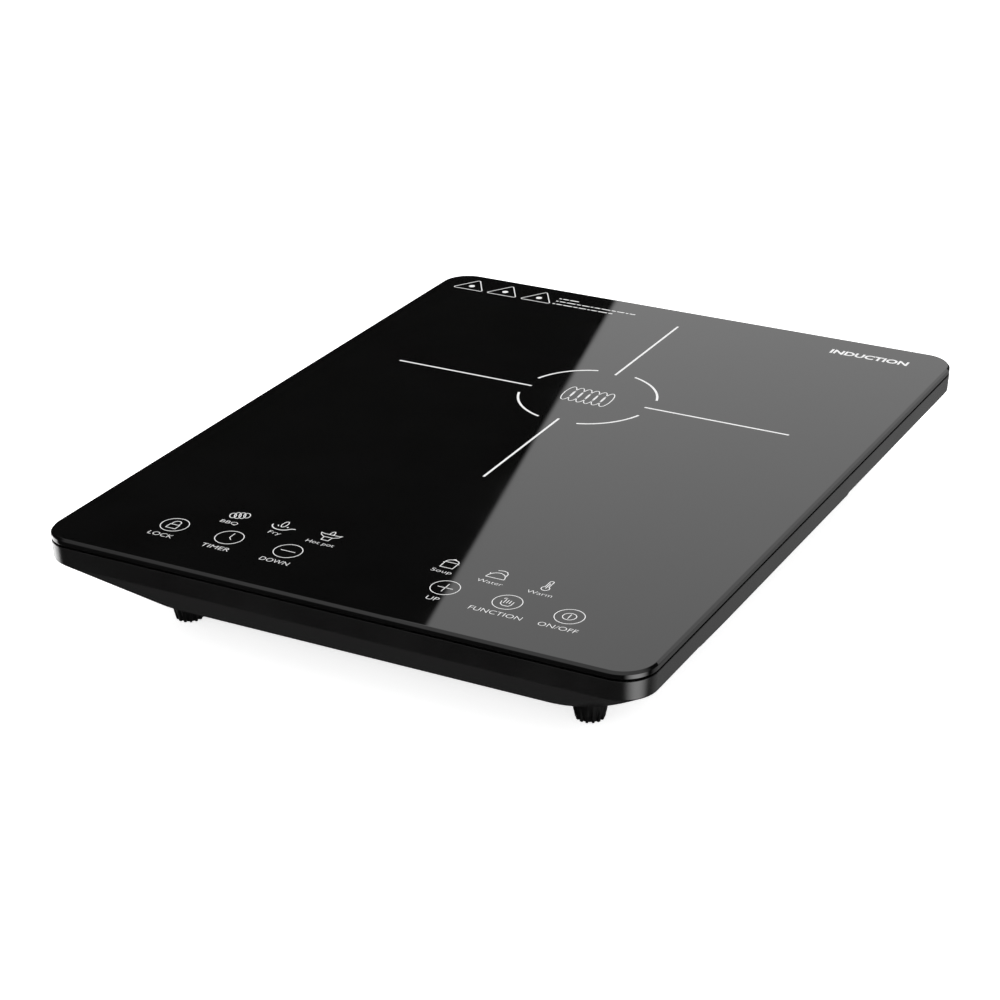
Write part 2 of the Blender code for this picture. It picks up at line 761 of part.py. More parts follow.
def display_module(finish):
    form = block((42.0, 16.0, 6.0), edge=0.6)
    add_object("display_module", form, finish, (0.0, -142.0, PANEL_TOP + 3.0))


def touch_springs(finish):
    wire = 0.8
    room = GLASS_LOW - GAP - PANEL_TOP
    turns = 3
    for name, x in zip(KEY_NAMES, KEY_XS):
        form = helix(4.4, (room - wire) / turns, turns, wire, 8)
        add_object(f"touch_spring_{name}", form, finish, (x, KEY_Y, PANEL_TOP + wire / 2))


def ribbon_cable(finish):
    """A flat cable from under the control board down to the power board."""
    top = PANEL_AT[2] - PANEL[2] / 2 - GAP
    thick = 0.6
    low = BOARD_TOP + thick
    path = ((-122.0, top), (-113.0, top - 1.2), (-109.0, top - 6.0), (-107.0, top - 11.0), (-104.5, low))
    back = [(y - thick, z - thick) for y, z in path]
    outline = list(path) + back[::-1]
    rings = [[(x, y, z) for y, z in outline] for x in (-38.0, -24.0)]
    add_object("ribbon_cable", loft(rings), finish)


# ---------------------------------------------------------------- the whole


def finishes():
    return {
        "glass": material("black_glass", (0.004, 0.004, 0.004), 0.06),
        "seal": material("seal_silicone", (0.01, 0.01, 0.01), 0.6),
        "casing": material("casing_plastic", (0.012, 0.012, 0.012), 0.35),
        "rubber": material("foot_rubber", (0.012, 0.012, 0.012), 0.7),
        "steel": material("zinc_steel", (0.6, 0.6, 0.58), 0.35, 1.0),
        "former": material("former_resin", (0.75, 0.72, 0.64), 0.5),
        "copper": material("enamelled_copper", (0.62, 0.28, 0.12), 0.35, 1.0),
        "ferrite": material("ferrite", (0.05, 0.05, 0.055), 0.55),
        "mica": material("mica_sheet", (0.72, 0.66, 0.5), 0.5),
        "silicone": material("sensor_silicone", (0.8, 0.8, 0.78), 0.6),
        "fan": material("fan_plastic", (0.02, 0.02, 0.02), 0.45),
        "laminate": material("board_laminate", (0.05, 0.2, 0.07), 0.45),
        "aluminium": material("aluminium", (0.78, 0.78, 0.8), 0.35, 1.0),
        "component_black": material("component_epoxy", (0.02, 0.02, 0.02), 0.5),
        "capacitor_blue": material("capacitor_case", (0.05, 0.16, 0.4), 0.4),
        "transformer_yellow": material("transformer_tape", (0.85, 0.66, 0.12), 0.5),
        "ceramic": material("fuse_ceramic", (0.85, 0.84, 0.8), 0.35),
        "cable": material("cable_sleeve", (0.7, 0.7, 0.68), 0.5),
    }


def build():
    for leftover in list(bpy.data.objects):
        bpy.data.objects.remove(leftover, do_unlink=True)
    looks = finishes()
    glass_plate(looks["glass"])
    glass_seal(looks["seal"])
    top_frame(looks["casing"])
    bottom_case(looks["casing"])
    cord_gland(looks["rubber"])
    feet(looks["rubber"])
    case_screws(looks["steel"])
    coil_former(looks["former"])
    coil_winding(looks["copper"])
    ferrite_bars(looks["ferrite"])
    insulation_sheet(looks["mica"])
    coil_screws(looks["steel"])
    temperature_sensor(looks["silicone"])
    sensor_spring(looks["steel"])
    coil_leads(looks["cable"])
    fan_frame(looks["fan"])
    fan_rotor(looks["fan"])
    fan_screws(looks["steel"])
    power_posts = [(x, y) for _, x, y in four_corners(*BOARD_POST)]
    board("power_board", BOARD, BOARD_AT, [(x, BOARD_AT[1] + y) for x, y in power_posts], looks["laminate"])
    panel_posts = [(side * PANEL_POST[0], PANEL_POST[1]) for side in (-1, 1)]
    board("control_board", PANEL, PANEL_AT, panel_posts, looks["laminate"])
    board_screws(looks["steel"])
    heatsink(looks["aluminium"])
    board_parts(looks)
    terminal_block(looks["former"])
    mains_lead(looks["cable"])
    display_module(looks["component_black"])
    touch_springs(looks["steel"])
    ribbon_cable(looks["cable"])


build()
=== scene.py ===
"""The looks of a portable single-zone induction cooktop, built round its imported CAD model.

Sizes are in millimetres and turn into metres where a mesh is made. +Z is up, +X points right along
the row of keys, +Y points to the back, and the origin is on the surface under the middle of the glass.
"""

import json
import math

import bmesh
import bpy
from mathutils import Matrix, Vector


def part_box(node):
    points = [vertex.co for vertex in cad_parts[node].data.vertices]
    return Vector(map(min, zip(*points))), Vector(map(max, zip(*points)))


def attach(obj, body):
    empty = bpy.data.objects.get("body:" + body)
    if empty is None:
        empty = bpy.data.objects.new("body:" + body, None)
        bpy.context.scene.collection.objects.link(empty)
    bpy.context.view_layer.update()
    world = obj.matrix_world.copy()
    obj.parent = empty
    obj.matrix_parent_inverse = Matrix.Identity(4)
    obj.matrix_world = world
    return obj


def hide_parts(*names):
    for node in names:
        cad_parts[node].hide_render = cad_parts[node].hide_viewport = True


MM = 0.001
GAP = 0.3

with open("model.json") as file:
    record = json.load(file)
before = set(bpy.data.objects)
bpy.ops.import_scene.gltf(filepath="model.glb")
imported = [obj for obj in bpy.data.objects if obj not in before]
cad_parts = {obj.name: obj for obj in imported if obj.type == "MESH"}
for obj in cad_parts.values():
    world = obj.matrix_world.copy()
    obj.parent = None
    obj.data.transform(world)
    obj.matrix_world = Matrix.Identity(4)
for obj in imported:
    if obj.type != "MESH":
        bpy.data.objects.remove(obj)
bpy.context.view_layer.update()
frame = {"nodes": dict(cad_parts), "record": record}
plate_low, plate_high = (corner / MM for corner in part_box("glass_plate"))

# The glass plate
HALF_X, HALF_Y, HEIGHT = plate_high
GLASS_LOW = plate_low.z
CORNER = 14.6
BEVEL_ACROSS, BEVEL_DOWN = 0.95, 1.1
PRINT_PROUD = 0.02  # how far the fired print stands above the glass
GLASS_TOP = HEIGHT - PRINT_PROUD

# The frame round it
RIM_TOP = GLASS_LOW - 1.0
WALL_LOW = HEIGHT - 12.4
WALL_DRAFT, WALL = 0.45, 2.0
LEDGE_INSET, LEDGE_TOP, LEDGE_LOW = 12.0, 43.9, 41.4
BOSS_RADIUS, PILOT_RADIUS = 3.8, 1.8
ARM_THICK, ARM_DROP, ARM_LAP = 3.0, 11.0, 1.2  # the arms that tie the bosses to the wall

# The case screws, from under the tray up into the frame's bosses
SCREW_AT = (112.0, 98.0)
SCREW_WELL, WELL_DEEP, WELL_WALL = 4.2, 2.6, 6.2  # the sunk seat of a head, and the wall round it
SCREW_HOLE, SCREW_SHANK, SCREW_HEAD = 1.9, 1.5, 3.6
RECESS_REACH, RECESS_ARM = 1.6, 0.35

# The tray under it
BASE_Z = HEIGHT - 36.7
BASE_INSET_X, BASE_INSET_Y, BASE_CORNER = 19.0, 25.5, 35.0
BASE_EDGE = 2.5
TRAY_WALL = 2.4
TRAY_TOP = WALL_LOW - GAP
FLOOR = BASE_Z + TRAY_WALL
TONGUE_TOP = LEDGE_LOW - 0.6
TONGUE_THICK, TONGUE_SLACK = 1.8, 0.1

# Posts on the tray's floor for the boards and the coil: half spans, heights and radii
BOARD_POST_X, BOARD_POST_Y, BOARD_MIDDLE_Y, BOARD_POST_TOP = 96.0, 30.0, -72.0, 18.7
PANEL_POST_X, PANEL_POST_Y, PANEL_POST_TOP = 79.0, -126.0, 36.9
COIL_POST_ROUND, COIL_POST_TOP, COIL_POST_RADIUS = 90.0, 35.2, 4.0
POST_RADIUS, POST_PILOT, POST_PILOT_DEEP = 3.4, 1.5, 9.0

# Vents, gland and feet
VENT_COUNT, VENT_PITCH, VENT_SLOT, VENT_MIDDLE_Y = 23, 5.5, 2.8, -23.5
VENT_LOW, VENT_HIGH, VENT_PROUD = BASE_Z + 5.0, BASE_Z + 18.0, 0.5
PANEL_MARGIN_Y, PANEL_MARGIN_Z, PANEL_SUNK, PANEL_EASE = 3.0, 2.0, 1.2, 0.9
FAN_AT, GRILLE_PITCH, GRILLE_SLOT, GRILLE_RADIUS = (-58.0, 60.0), 5.82, 3.0, 36.0
GLAND_X, GLAND_Z, GLAND_FACE_Y = 70.0, 24.6, 176.0
GLAND_BOSS, GLAND_BORE, GLAND_SLEEVE = (24.0, 20.0, 15.0), 6.2, 15.6
FOOT_AT, FOOT_HOLE = (96.7, 136.2), 3.5
FOOT_TEETH, TOOTH_DEEP, RIB_DEEP = 14, 1.6, 0.55

# The print on the glass
ZONE = (-0.5, 56.4)
ZONE_RADIUS, ZONE_LINE = 32.8, 1.1
ARC_START, ARC_END = 17.4, 72.6
ARM_FROM, ARM_TO = 29.7, 102.3
LOOPS, LOOP_PITCH, LOOP_LINE = 6, 4.0, 0.46
KEYS = (-93.0, -65.6, -36.8, 37.4, 65.6, 93.1)
KEY_Y, KEY_RADIUS, KEY_LINE = -147.2, 6.3, 0.36
KEY_WORD_Y, KEY_WORD_TALL = -157.5, 2.9
MODES = (-73.9, -51.2, -28.9, 28.8, 51.0, 73.5)
MODE_Y, MODE_LINE = -127.3, 0.38
MODE_WORD_Y, MODE_WORD_TALL = -134.9, 2.4
THIN = -0.014  # how much bolder than plain the letters of the keys and modes are
SIGN_XS, SIGN_LOW_Y, SIGN_SIDE, SIGN_TALL = (-122.1, -102.3, -82.4), 159.2, 16.2, 14.0
SIGN_LINE, SIGN_ROUND, SIGN_DOT = 0.5, 0.9, 1.6
DASHES_LEFT, DASH_GAP, DASH_LINE = -72.4, 0.8, 0.85
DASH_ROWS = ((168.1, -60.0), (164.2, -26.5), (160.2, -36.5))  # the height and right end of each
PLAIN_WORD_AT, PLAIN_WORD_TALL, PLAIN_WORD_WIDE = (100.5, 162.6), 5.0, 40.0
BOLD = 0.03

CORNER_STEPS = 22
SMOOTH = math.radians(32)


# ---------------------------------------------------------------- meshes


def loft_into(form, rings, closed=False):
    """Skins a row of rings of equal length; a closed row makes a ring, an open one is capped."""
    loops = [[form.verts.new(point) for point in ring] for ring in rings]
    pairs = list(zip(loops, loops[1:]))
    if closed:
        pairs.append((loops[-1], loops[0]))
    else:
        form.faces.new(loops[0][::-1])
        form.faces.new(loops[-1])
    for low, high in pairs:
        for i, here in enumerate(low):
            after = (i + 1) % len(low)
            form.faces.new((here, low[after], high[after], high[i]))
    return form


def loft(rings, closed=False):
    return loft_into(bmesh.new(), rings, closed)


def rounded(half_x, half_y, radius, z, steps=CORNER_STEPS):
    """A rectangle with round corners at one height, as a ring of points."""
    ring = []
    for turn, (side_x, side_y) in enumerate(((1, 1), (-1, 1), (-1, -1), (1, -1))):
        for step in range(steps + 1):
            angle = math.radians(90 * (turn + step / steps))
            x = side_x * (half_x - radius) + radius * math.cos(angle)
            y = side_y * (half_y - radius) + radius * math.sin(angle)
            ring.append((x, y, z))
    return ring


def plate_ring(inset, z):
    return rounded(HALF_X - inset, HALF_Y - inset, max(CORNER - inset, 1.5), z)


def eased(points, closed=False, steps=4, shoulder=0.25):
    """Rounds each (u, v, radius) corner of a profile, and keeps the straights between them flat."""
    path = []
    last = len(points) - 1
    for i, (u, v, radius) in enumerate(points):
        here = Vector((u, v))
        if radius == 0.0 or (not closed and i in (0, last)):
            path.append(here)
            continue
        before = Vector(points[i - 1][:2]) - here
        after = Vector(points[(i + 1) % len(points)][:2]) - here
        reach = min(radius / math.tan(before.angle(after) / 2), before.length * 0.4, after.length * 0.4)
        start = here + before.normalized() * reach
        end = here + after.normalized() * reach
        path.append(start + before.normalized() * min(shoulder, before.length * 0.05))
        for step in range(steps + 1):
            t = step / steps
            path.append(start * (1 - t) ** 2 + here * 2 * t * (1 - t) + end * t**2)
        path.append(end + after.normalized() * min(shoulder, after.length * 0.05))
    return [tuple(point) for point in path]


def circle(radius, z, steps, middle=(0.0, 0.0)):
    turns = [2 * math.pi * step / steps for step in range(steps)]
    return [(middle[0] + radius * math.cos(t), middle[1] + radius * math.sin(t), z) for t in turns]


def turned(profile, steps, closed=False):
    """Turns a profile of (radius, height) points about Z; a closed profile makes a ring."""
    return loft([circle(radius, z, steps) for radius, z in profile], closed)


def prism_into(form, outline, low, high):
    loft_into(form, [[(x, y, low) for x, y in outline], [(x, y, high) for x, y in outline]])


def block_into(form, size, middle):
    place = Matrix.Translation(middle) @ Matrix.Diagonal((*size, 1.0))
    bmesh.ops.create_cube(form, size=1.0, matrix=place)


def set_down(form, degrees, place):
    """Turns the form about X, then carries its origin to a place."""
    turn = Matrix.Rotation(math.radians(degrees), 3, "X")
    bmesh.ops.rotate(form, matrix=turn, verts=form.verts)
    bmesh.ops.translate(form, vec=place, verts=form.verts)


def mesh_from(name, form):
    bmesh.ops.recalc_face_normals(form, faces=form.faces)
    bmesh.ops.scale(form, vec=(MM, MM, MM), verts=form.verts)
    mesh = bpy.data.meshes.new(name)
    form.to_mesh(mesh)
    form.free()
    return mesh


def piece(name, form, finish, changes=(), body="casing"):
    """The form as a finished piece that rides on a body.

    changes are ("DIFFERENCE" or "UNION", form) pairs, made one after the other.
    """
    made = bpy.data.objects.new(name, mesh_from(name, form))
    bpy.context.scene.collection.objects.link(made)
    tools = []
    for operation, tool_form in changes:
        tool = bpy.data.objects.new(f"{name}_tool", mesh_from(f"{name}_tool", tool_form))
        bpy.context.scene.collection.objects.link(tool)
        change = made.modifiers.new(tool.name, "BOOLEAN")
        change.operation = operation
        change.object = tool
        change.solver = "EXACT"
        tools.append(tool)
    if tools:
        shaped = made.evaluated_get(bpy.context.evaluated_depsgraph_get())
        made.data = bpy.data.meshes.new_from_object(shaped)
        made.modifiers.clear()
        for tool in tools:
            bpy.data.objects.remove(tool, do_unlink=True)
    made.data.materials.clear()
    made.data.materials.append(finish)
    made.data.shade_smooth()
    made.data.set_sharp_from_angle(angle=SMOOTH)
    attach(made, body)
    return made


def stand_for(made, slot, *nodes):
    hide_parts(*nodes)


def four_corners(x, y):
    return (
        ("front_left", -x, -y),
        ("front_right", x, -y),
        ("rear_left", -x, y),
        ("rear_right", x, y),
    )


# ---------------------------------------------------------------- materials


def add_node(tree, kind, inputs=None, **settings):
    """A shader node with its settings, and its inputs set to a value or linked to a socket."""
    made = tree.nodes.new(f"ShaderNode{kind}")
    for name, value in settings.items():
        setattr(made, name, value)
    for name, value in (inputs or {}).items():
        if isinstance(value, bpy.types.NodeSocket):
            tree.links.new(value, made.inputs[name])
        else:
            made.inputs[name].default_value = value
    return made


def lengths(tree, stretch=(1.0, 1.0, 1.0), middle=(0.0, 0.0, 0.0)):
    """The place on the piece, in metres from the middle given, stretched along each axis."""
    place = add_node(tree, "TexCoord").outputs["Object"]
    from_middle = add_node(tree, "VectorMath", {0: place, 1: Vector(middle) * MM}, operation="SUBTRACT")
    return add_node(tree, "Mapping", {"Vector": from_middle.outputs[0], "Scale": stretch}).outputs[0]


def surface(
    name, tones, rough, mottle, grain, metallic=0.0, gloss=0.5, stretch=(1.0, 1.0, 1.0), lines=None
):
    """A surface whose tone and roughness drift between two values, over a fine relief.

    mottle is the size of the drift and grain is (size, height) of the relief, in millimetres. lines is
    (size, height, share, middle) of round-the-middle ridges, such as strands, drawn in the second tone.
    """
    made = bpy.data.materials.new(name)
    made.use_nodes = True
    tree = made.node_tree
    shader = tree.nodes["Principled BSDF"]
    place = lengths(tree, stretch)
    drift = add_node(tree, "TexNoise", {"Vector": place, "Scale": 1 / (mottle * MM), "Detail": 5.0})
    relief = add_node(tree, "TexNoise", {"Vector": place, "Scale": 1 / (grain[0] * MM), "Detail": 3.0})
    share = drift.outputs["Fac"]
    height = relief.outputs["Fac"]
    depth = grain[1]
    if lines:
        pitch, ridge, weight, middle = lines
        across = lengths(tree, middle=middle)
        wave = add_node(
            tree,
            "TexWave",
            {"Vector": across, "Scale": 0.5 / (pitch * MM), "Distortion": 0.4, "Detail": 2.0},
            wave_type="RINGS",
            rings_direction="Z",
        ).outputs["Fac"]
        mixed = add_node(tree, "Mix", {"Factor": weight, "A": share, "B": wave})
        share = mixed.outputs["Result"]
        height = wave
        depth = ridge
    tint = add_node(tree, "ValToRGB", {"Fac": share})
    tint.color_ramp.elements[0].position = 0.3
    tint.color_ramp.elements[1].position = 0.7
    tint.color_ramp.elements[0].color = (*tones[0], 1.0)
    tint.color_ramp.elements[1].color = (*tones[1], 1.0)
    spread = add_node(
        tree,
        "MapRange",
        {"Value": share, "From Min": 0.3, "From Max": 0.7, "To Min": rough[0], "To Max": rough[1]},
    )
    bump = add_node(tree, "Bump", {"Height": height, "Distance": depth * MM, "Strength": 1.0})
    tree.links.new(tint.outputs["Color"], shader.inputs["Base Color"])
    tree.links.new(spread.outputs["Result"], shader.inputs["Roughness"])
    tree.links.new(bump.outputs["Normal"], shader.inputs["Normal"])
    shader.inputs["Metallic"].default_value = metallic
    shader.inputs["Specular IOR Level"].default_value = gloss
    return made


def grey(tone):
    return (tone, tone, tone)


def finishes():
    """One finish for each material slot of the record, and two for what only shows here."""
    coil_middle = (0.0, ZONE[1], 0.0)
    strands = (0.5, 0.06, 0.8, coil_middle)
    fibre = (0.9, 0.012, 0.35, (60.0, -300.0, 0.0))
    return {
        "black_glass": surface(
            "black_glass_ceramic", (grey(0.0016), grey(0.0024)), (0.018, 0.03), 35.0, (60.0, 0.0005)
        ),
        "seal_silicone": surface(
            "seal_silicone", (grey(0.008), grey(0.014)), (0.5, 0.65), 9.0, (0.5, 0.02)
        ),
        "casing_plastic": surface(
            "casing_moulded_plastic", (grey(0.0035), grey(0.0055)), (0.2, 0.27), 22.0, (0.6, 0.008)
        ),
        "foot_rubber": surface(
            "foot_rubber", (grey(0.0015), grey(0.003)), (0.5, 0.65), 4.0, (0.35, 0.015), gloss=0.12
        ),
        "zinc_steel": surface(
            "zinc_steel",
            ((0.42, 0.42, 0.4), (0.66, 0.65, 0.6)),
            (0.22, 0.42),
            1.6,
            (0.2, 0.01),
            metallic=1.0,
        ),
        "former_resin": surface(
            "former_resin", ((0.6, 0.56, 0.46), (0.74, 0.7, 0.6)), (0.42, 0.55), 14.0, (0.6, 0.015)
        ),
        "enamelled_copper": surface(
            "enamelled_copper",
            ((0.2, 0.055, 0.02), (0.66, 0.27, 0.11)),
            (0.2, 0.35),
            6.0,
            (0.3, 0.02),
            metallic=1.0,
            lines=strands,
        ),
        "ferrite": surface("ferrite", (grey(0.028), grey(0.055)), (0.5, 0.7), 2.5, (0.25, 0.02)),
        "mica_sheet": surface(
            "mica_sheet", ((0.46, 0.38, 0.24), (0.74, 0.67, 0.48)), (0.3, 0.5), 3.0, (1.2, 0.02)
        ),
        "sensor_silicone": surface(
            "sensor_silicone", (grey(0.68), grey(0.8)), (0.5, 0.62), 3.0, (0.3, 0.01)
        ),
        "fan_plastic": surface("fan_plastic", (grey(0.012), grey(0.022)), (0.35, 0.5), 8.0, (0.4, 0.01)),
        "board_laminate": surface(
            "board_laminate",
            ((0.012, 0.09, 0.03), (0.04, 0.2, 0.08)),
            (0.3, 0.42),
            5.0,
            (0.5, 0.01),
            lines=fibre,
        ),
        "aluminium": surface(
            "extruded_aluminium",
            (grey(0.6), grey(0.78)),
            (0.25, 0.4),
            2.0,
            (0.25, 0.01),
            metallic=1.0,
            stretch=(0.04, 1.0, 1.0),
        ),
        "component_epoxy": surface(
            "component_epoxy", (grey(0.012), grey(0.026)), (0.4, 0.55), 3.0, (0.25, 0.012)
        ),
        "capacitor_case": surface(
            "capacitor_case", ((0.025, 0.1, 0.3), (0.05, 0.17, 0.42)), (0.3, 0.42), 7.0, (0.4, 0.006)
        ),
        "transformer_tape": surface(
            "transformer_tape",
            ((0.72, 0.5, 0.06), (0.88, 0.7, 0.16)),
            (0.25, 0.4),
            5.0,
            (0.8, 0.02),
            stretch=(1.0, 1.0, 6.0),
        ),
        "fuse_ceramic": surface("fuse_ceramic", (grey(0.72), grey(0.84)), (0.2, 0.35), 4.0, (0.4, 0.008)),
        "cable_sleeve": surface(
            "cable_sleeve", ((0.56, 0.56, 0.54), (0.72, 0.72, 0.7)), (0.5, 0.65), 3.0, (0.4, 0.03)
        ),
        "print": surface("fired_white_print", (grey(0.74), grey(0.84)), (0.45, 0.6), 5.0, (0.25, 0.004)),
        "floor": surface("studio_floor", (grey(0.86), grey(0.88)), (0.7, 0.8), 90.0, (4.0, 0.02)),
    }


# ---------------------------------------------------------------- the casing


def glass_plate(looks):
    profile = (
        (30.0, GLASS_LOW, 0.0),
        (0.0, GLASS_LOW, 0.3),
        (0.0, GLASS_TOP - BEVEL_DOWN, 0.12),
        (BEVEL_ACROSS, GLASS_TOP, 0.12),
        (30.0, GLASS_TOP, 0.0),
    )
    rings = [plate_ring(inset, z) for inset, z in eased(profile)]
    made = piece("black_glass_plate", loft(rings), looks["black_glass"])
    stand_for(made, "black_glass", "glass_plate")


def top_frame(looks):
    profile = (
        (0.0, RIM_TOP, 0.2),
        (WALL_DRAFT, WALL_LOW, 0.45),
        (WALL_DRAFT + WALL, WALL_LOW, 0.3),
        (WALL + 0.2, LEDGE_LOW, 0.5),
        (LEDGE_INSET, LEDGE_LOW, 0.5),
        (LEDGE_INSET, LEDGE_TOP, 0.5),
        (WALL, LEDGE_TOP, 0.4),
        (WALL, RIM_TOP, 0.3),
    )
    form = loft([plate_ring(inset, z) for inset, z in eased(profile, closed=True)], closed=True)
    bosses = bmesh.new()
    pilots = bmesh.new()
    arms = bmesh.new()
    arm_low, arm_high = LEDGE_LOW - ARM_DROP, LEDGE_LOW + ARM_LAP
    arm_outer = HALF_X - LEDGE_INSET + 2.0
    for _, x, y in four_corners(*SCREW_AT):
        loft_into(bosses, [circle(BOSS_RADIUS, z, 28, (x, y)) for z in (FLOOR + 2.8, LEDGE_LOW + 1.0)])
        loft_into(pilots, [circle(PILOT_RADIUS, z, 20, (x, y)) for z in (FLOOR + 1.0, FLOOR + 18.0)])
        arm_inner = abs(x) - 1.0
        size = (arm_outer - arm_inner, ARM_THICK, arm_high - arm_low)
        middle_x = math.copysign((arm_outer + arm_inner) / 2, x)
        block_into(arms, size, (middle_x, y, (arm_high + arm_low) / 2))
    changes = (("UNION", arms), ("UNION", bosses), ("DIFFERENCE", pilots))
    made = piece("moulded_frame", form, looks["casing_plastic"], changes)
    stand_for(made, "casing_plastic", "top_frame")


def slope_place(z):
    """The insets and corner radius of the tray's outer side at a height on its slopes."""
    top = WALL_DRAFT + GAP
    share = (TRAY_TOP - z) / (TRAY_TOP - BASE_Z)
    return (
        top + share * (BASE_INSET_X - top),
        top + share * (BASE_INSET_Y - top),
        CORNER + share * (BASE_CORNER - CORNER),
        z,
    )


def tray_ring(place, inward=0.0):
    inset_x, inset_y, radius, z = place
    return rounded(HALF_X - inset_x - inward, HALF_Y - inset_y - inward, radius - inward, z)


def base_edge(steps=6):
    """The rounding where the slopes turn into the flat base, as places like those of the slopes."""
    start = Vector(slope_place(BASE_Z + BASE_EDGE))
    bend = Vector(slope_place(BASE_Z))
    end = bend + Vector((BASE_EDGE, BASE_EDGE, -BASE_EDGE, 0.0))
    shares = [step / steps for step in range(steps + 1)]
    return [start * (1 - t) ** 2 + bend * 2 * t * (1 - t) + end * t**2 for t in shares]


def tray_walls():
    """The hollow tray as rings, from the floor inside, over the tongue and down to the base."""
    tongue = WALL_DRAFT + WALL + GAP + TONGUE_SLACK
    rings = [tray_ring(slope_place(z), TRAY_WALL) for z in (FLOOR, FLOOR + 0.6)]
    rings.append(tray_ring(slope_place(TRAY_TOP - 2.0), TRAY_WALL + 2.0))
    rings += [plate_ring(tongue + TONGUE_THICK, TONGUE_TOP), plate_ring(tongue, TONGUE_TOP)]
    rings += [plate_ring(tongue, TRAY_TOP), tray_ring(slope_place(TRAY_TOP), 0.35)]
    rings += [tray_ring(slope_place(TRAY_TOP - drop)) for drop in (0.3, 0.6)]
    places = base_edge()
    rings.append(tray_ring(slope_place(BASE_Z + BASE_EDGE + 0.4)))
    rings += [tray_ring(place) for place in places]
    rings.append(tray_ring(places[-1], 0.5))
    return loft(rings)


def case_posts():
    """(x, y, top, radius) of each screw post that stands on the floor of the tray."""
    posts = []
    for _, x, y in four_corners(BOARD_POST_X, BOARD_POST_Y):
        posts.append((x, y + BOARD_MIDDLE_Y, BOARD_POST_TOP, POST_RADIUS))
    for side in (-1, 1):
        posts.append((side * PANEL_POST_X, PANEL_POST_Y, PANEL_POST_TOP, POST_RADIUS))
    for angle in (90, 210, 330):
        turn = math.radians(angle)
        x, y = COIL_POST_ROUND * math.cos(turn), ZONE[1] + COIL_POST_ROUND * math.sin(turn)
        posts.append((x, y, COIL_POST_TOP, COIL_POST_RADIUS))
    return posts


def slope_x(z):
    """How far out the side slope is at a height."""
    return HALF_X - slope_place(z)[0]


def vent_panels():
    """A raised panel on each side slope, its long ends fading into the slope."""
    form = bmesh.new()
    reach = VENT_PITCH * VENT_COUNT / 2 + PANEL_MARGIN_Y
    low, high = VENT_LOW - PANEL_MARGIN_Z, VENT_HIGH + PANEL_MARGIN_Z
    fades = ((-3.4, 0.0), (-2.2, 0.35), (-1.1, 0.85), (0.0, 1.0))
    ends = [(-reach + fade, share) for fade, share in fades]
    ends += [(reach - fade, share) for fade, share in reversed(fades)]
    for side in (-1, 1):
        rings = []
        for y, share in ends:
            proud = VENT_PROUD * share
            corners = (
                (slope_x(low) - PANEL_SUNK, low),
                (slope_x(low) + proud * 0.2, low),
                (slope_x(low + PANEL_EASE) + proud, low + PANEL_EASE),
                (slope_x(high - PANEL_EASE) + proud, high - PANEL_EASE),
                (slope_x(high) + proud * 0.2, high),
                (slope_x(high) - PANEL_SUNK, high),
            )
            rings.append([(side * x, VENT_MIDDLE_Y + y, z) for x, z in corners])
        loft_into(form, rings)
    return form


def vent_slots():
    """Upright slots with round ends, cut straight through each side."""
    form = bmesh.new()
    half = VENT_SLOT / 2
    first = VENT_MIDDLE_Y - VENT_PITCH * (VENT_COUNT - 1) / 2
    middle_x = slope_x((VENT_LOW + VENT_HIGH) / 2)
    for side in (-1, 1):
        for i in range(VENT_COUNT):
            middle = first + VENT_PITCH * i
            outline = []
            for z, start in ((VENT_HIGH - half, 0), (VENT_LOW + half, 180)):
                turns = [math.radians(start + 180 * step / 8) for step in range(9)]
                outline += [(middle + half * math.cos(t), z + half * math.sin(t)) for t in turns]
            ends = [side * middle_x + dx for dx in (-12.0, 12.0)]
            loft_into(form, [[(x, y, z) for y, z in outline] for x in ends])
    return form


def grille_slots():
    form = bmesh.new()
    count = int(GRILLE_RADIUS // GRILLE_PITCH)
    x, y = FAN_AT
    tall = GRILLE_SLOT / 2
    for i in range(-count, count + 1):
        offset = GRILLE_PITCH * i
        half = math.sqrt(GRILLE_RADIUS**2 - offset**2)
        outline = rounded(half, tall, tall - 0.05, 0.0, 6)
        prism_into(form, [(x + px, y + offset + py) for px, py, _ in outline], BASE_Z - 3.0, BASE_Z + 5.0)
    return form


def round_cuts():
    """Holes of the feet, the case screws and the screw posts."""
    form = bmesh.new()
    wide = bmesh.new()
    for _, x, y in four_corners(*FOOT_AT):
        loft_into(form, [circle(FOOT_HOLE, z, 28, (x, y)) for z in (BASE_Z - 2.0, FLOOR + 2.0)])
    for _, x, y in four_corners(*SCREW_AT):
        loft_into(wide, [circle(SCREW_WELL, z, 32, (x, y)) for z in (BASE_Z - 2.0, BASE_Z + WELL_DEEP)])
        loft_into(form, [circle(SCREW_HOLE, z, 24, (x, y)) for z in (BASE_Z + 1.0, FLOOR + 4.0)])
    for x, y, top, _ in case_posts():
        low = max(top - POST_PILOT_DEEP, FLOOR + 1.0)
        loft_into(form, [circle(POST_PILOT, z, 18, (x, y)) for z in (low, top + 1.0)])
    return form, wide


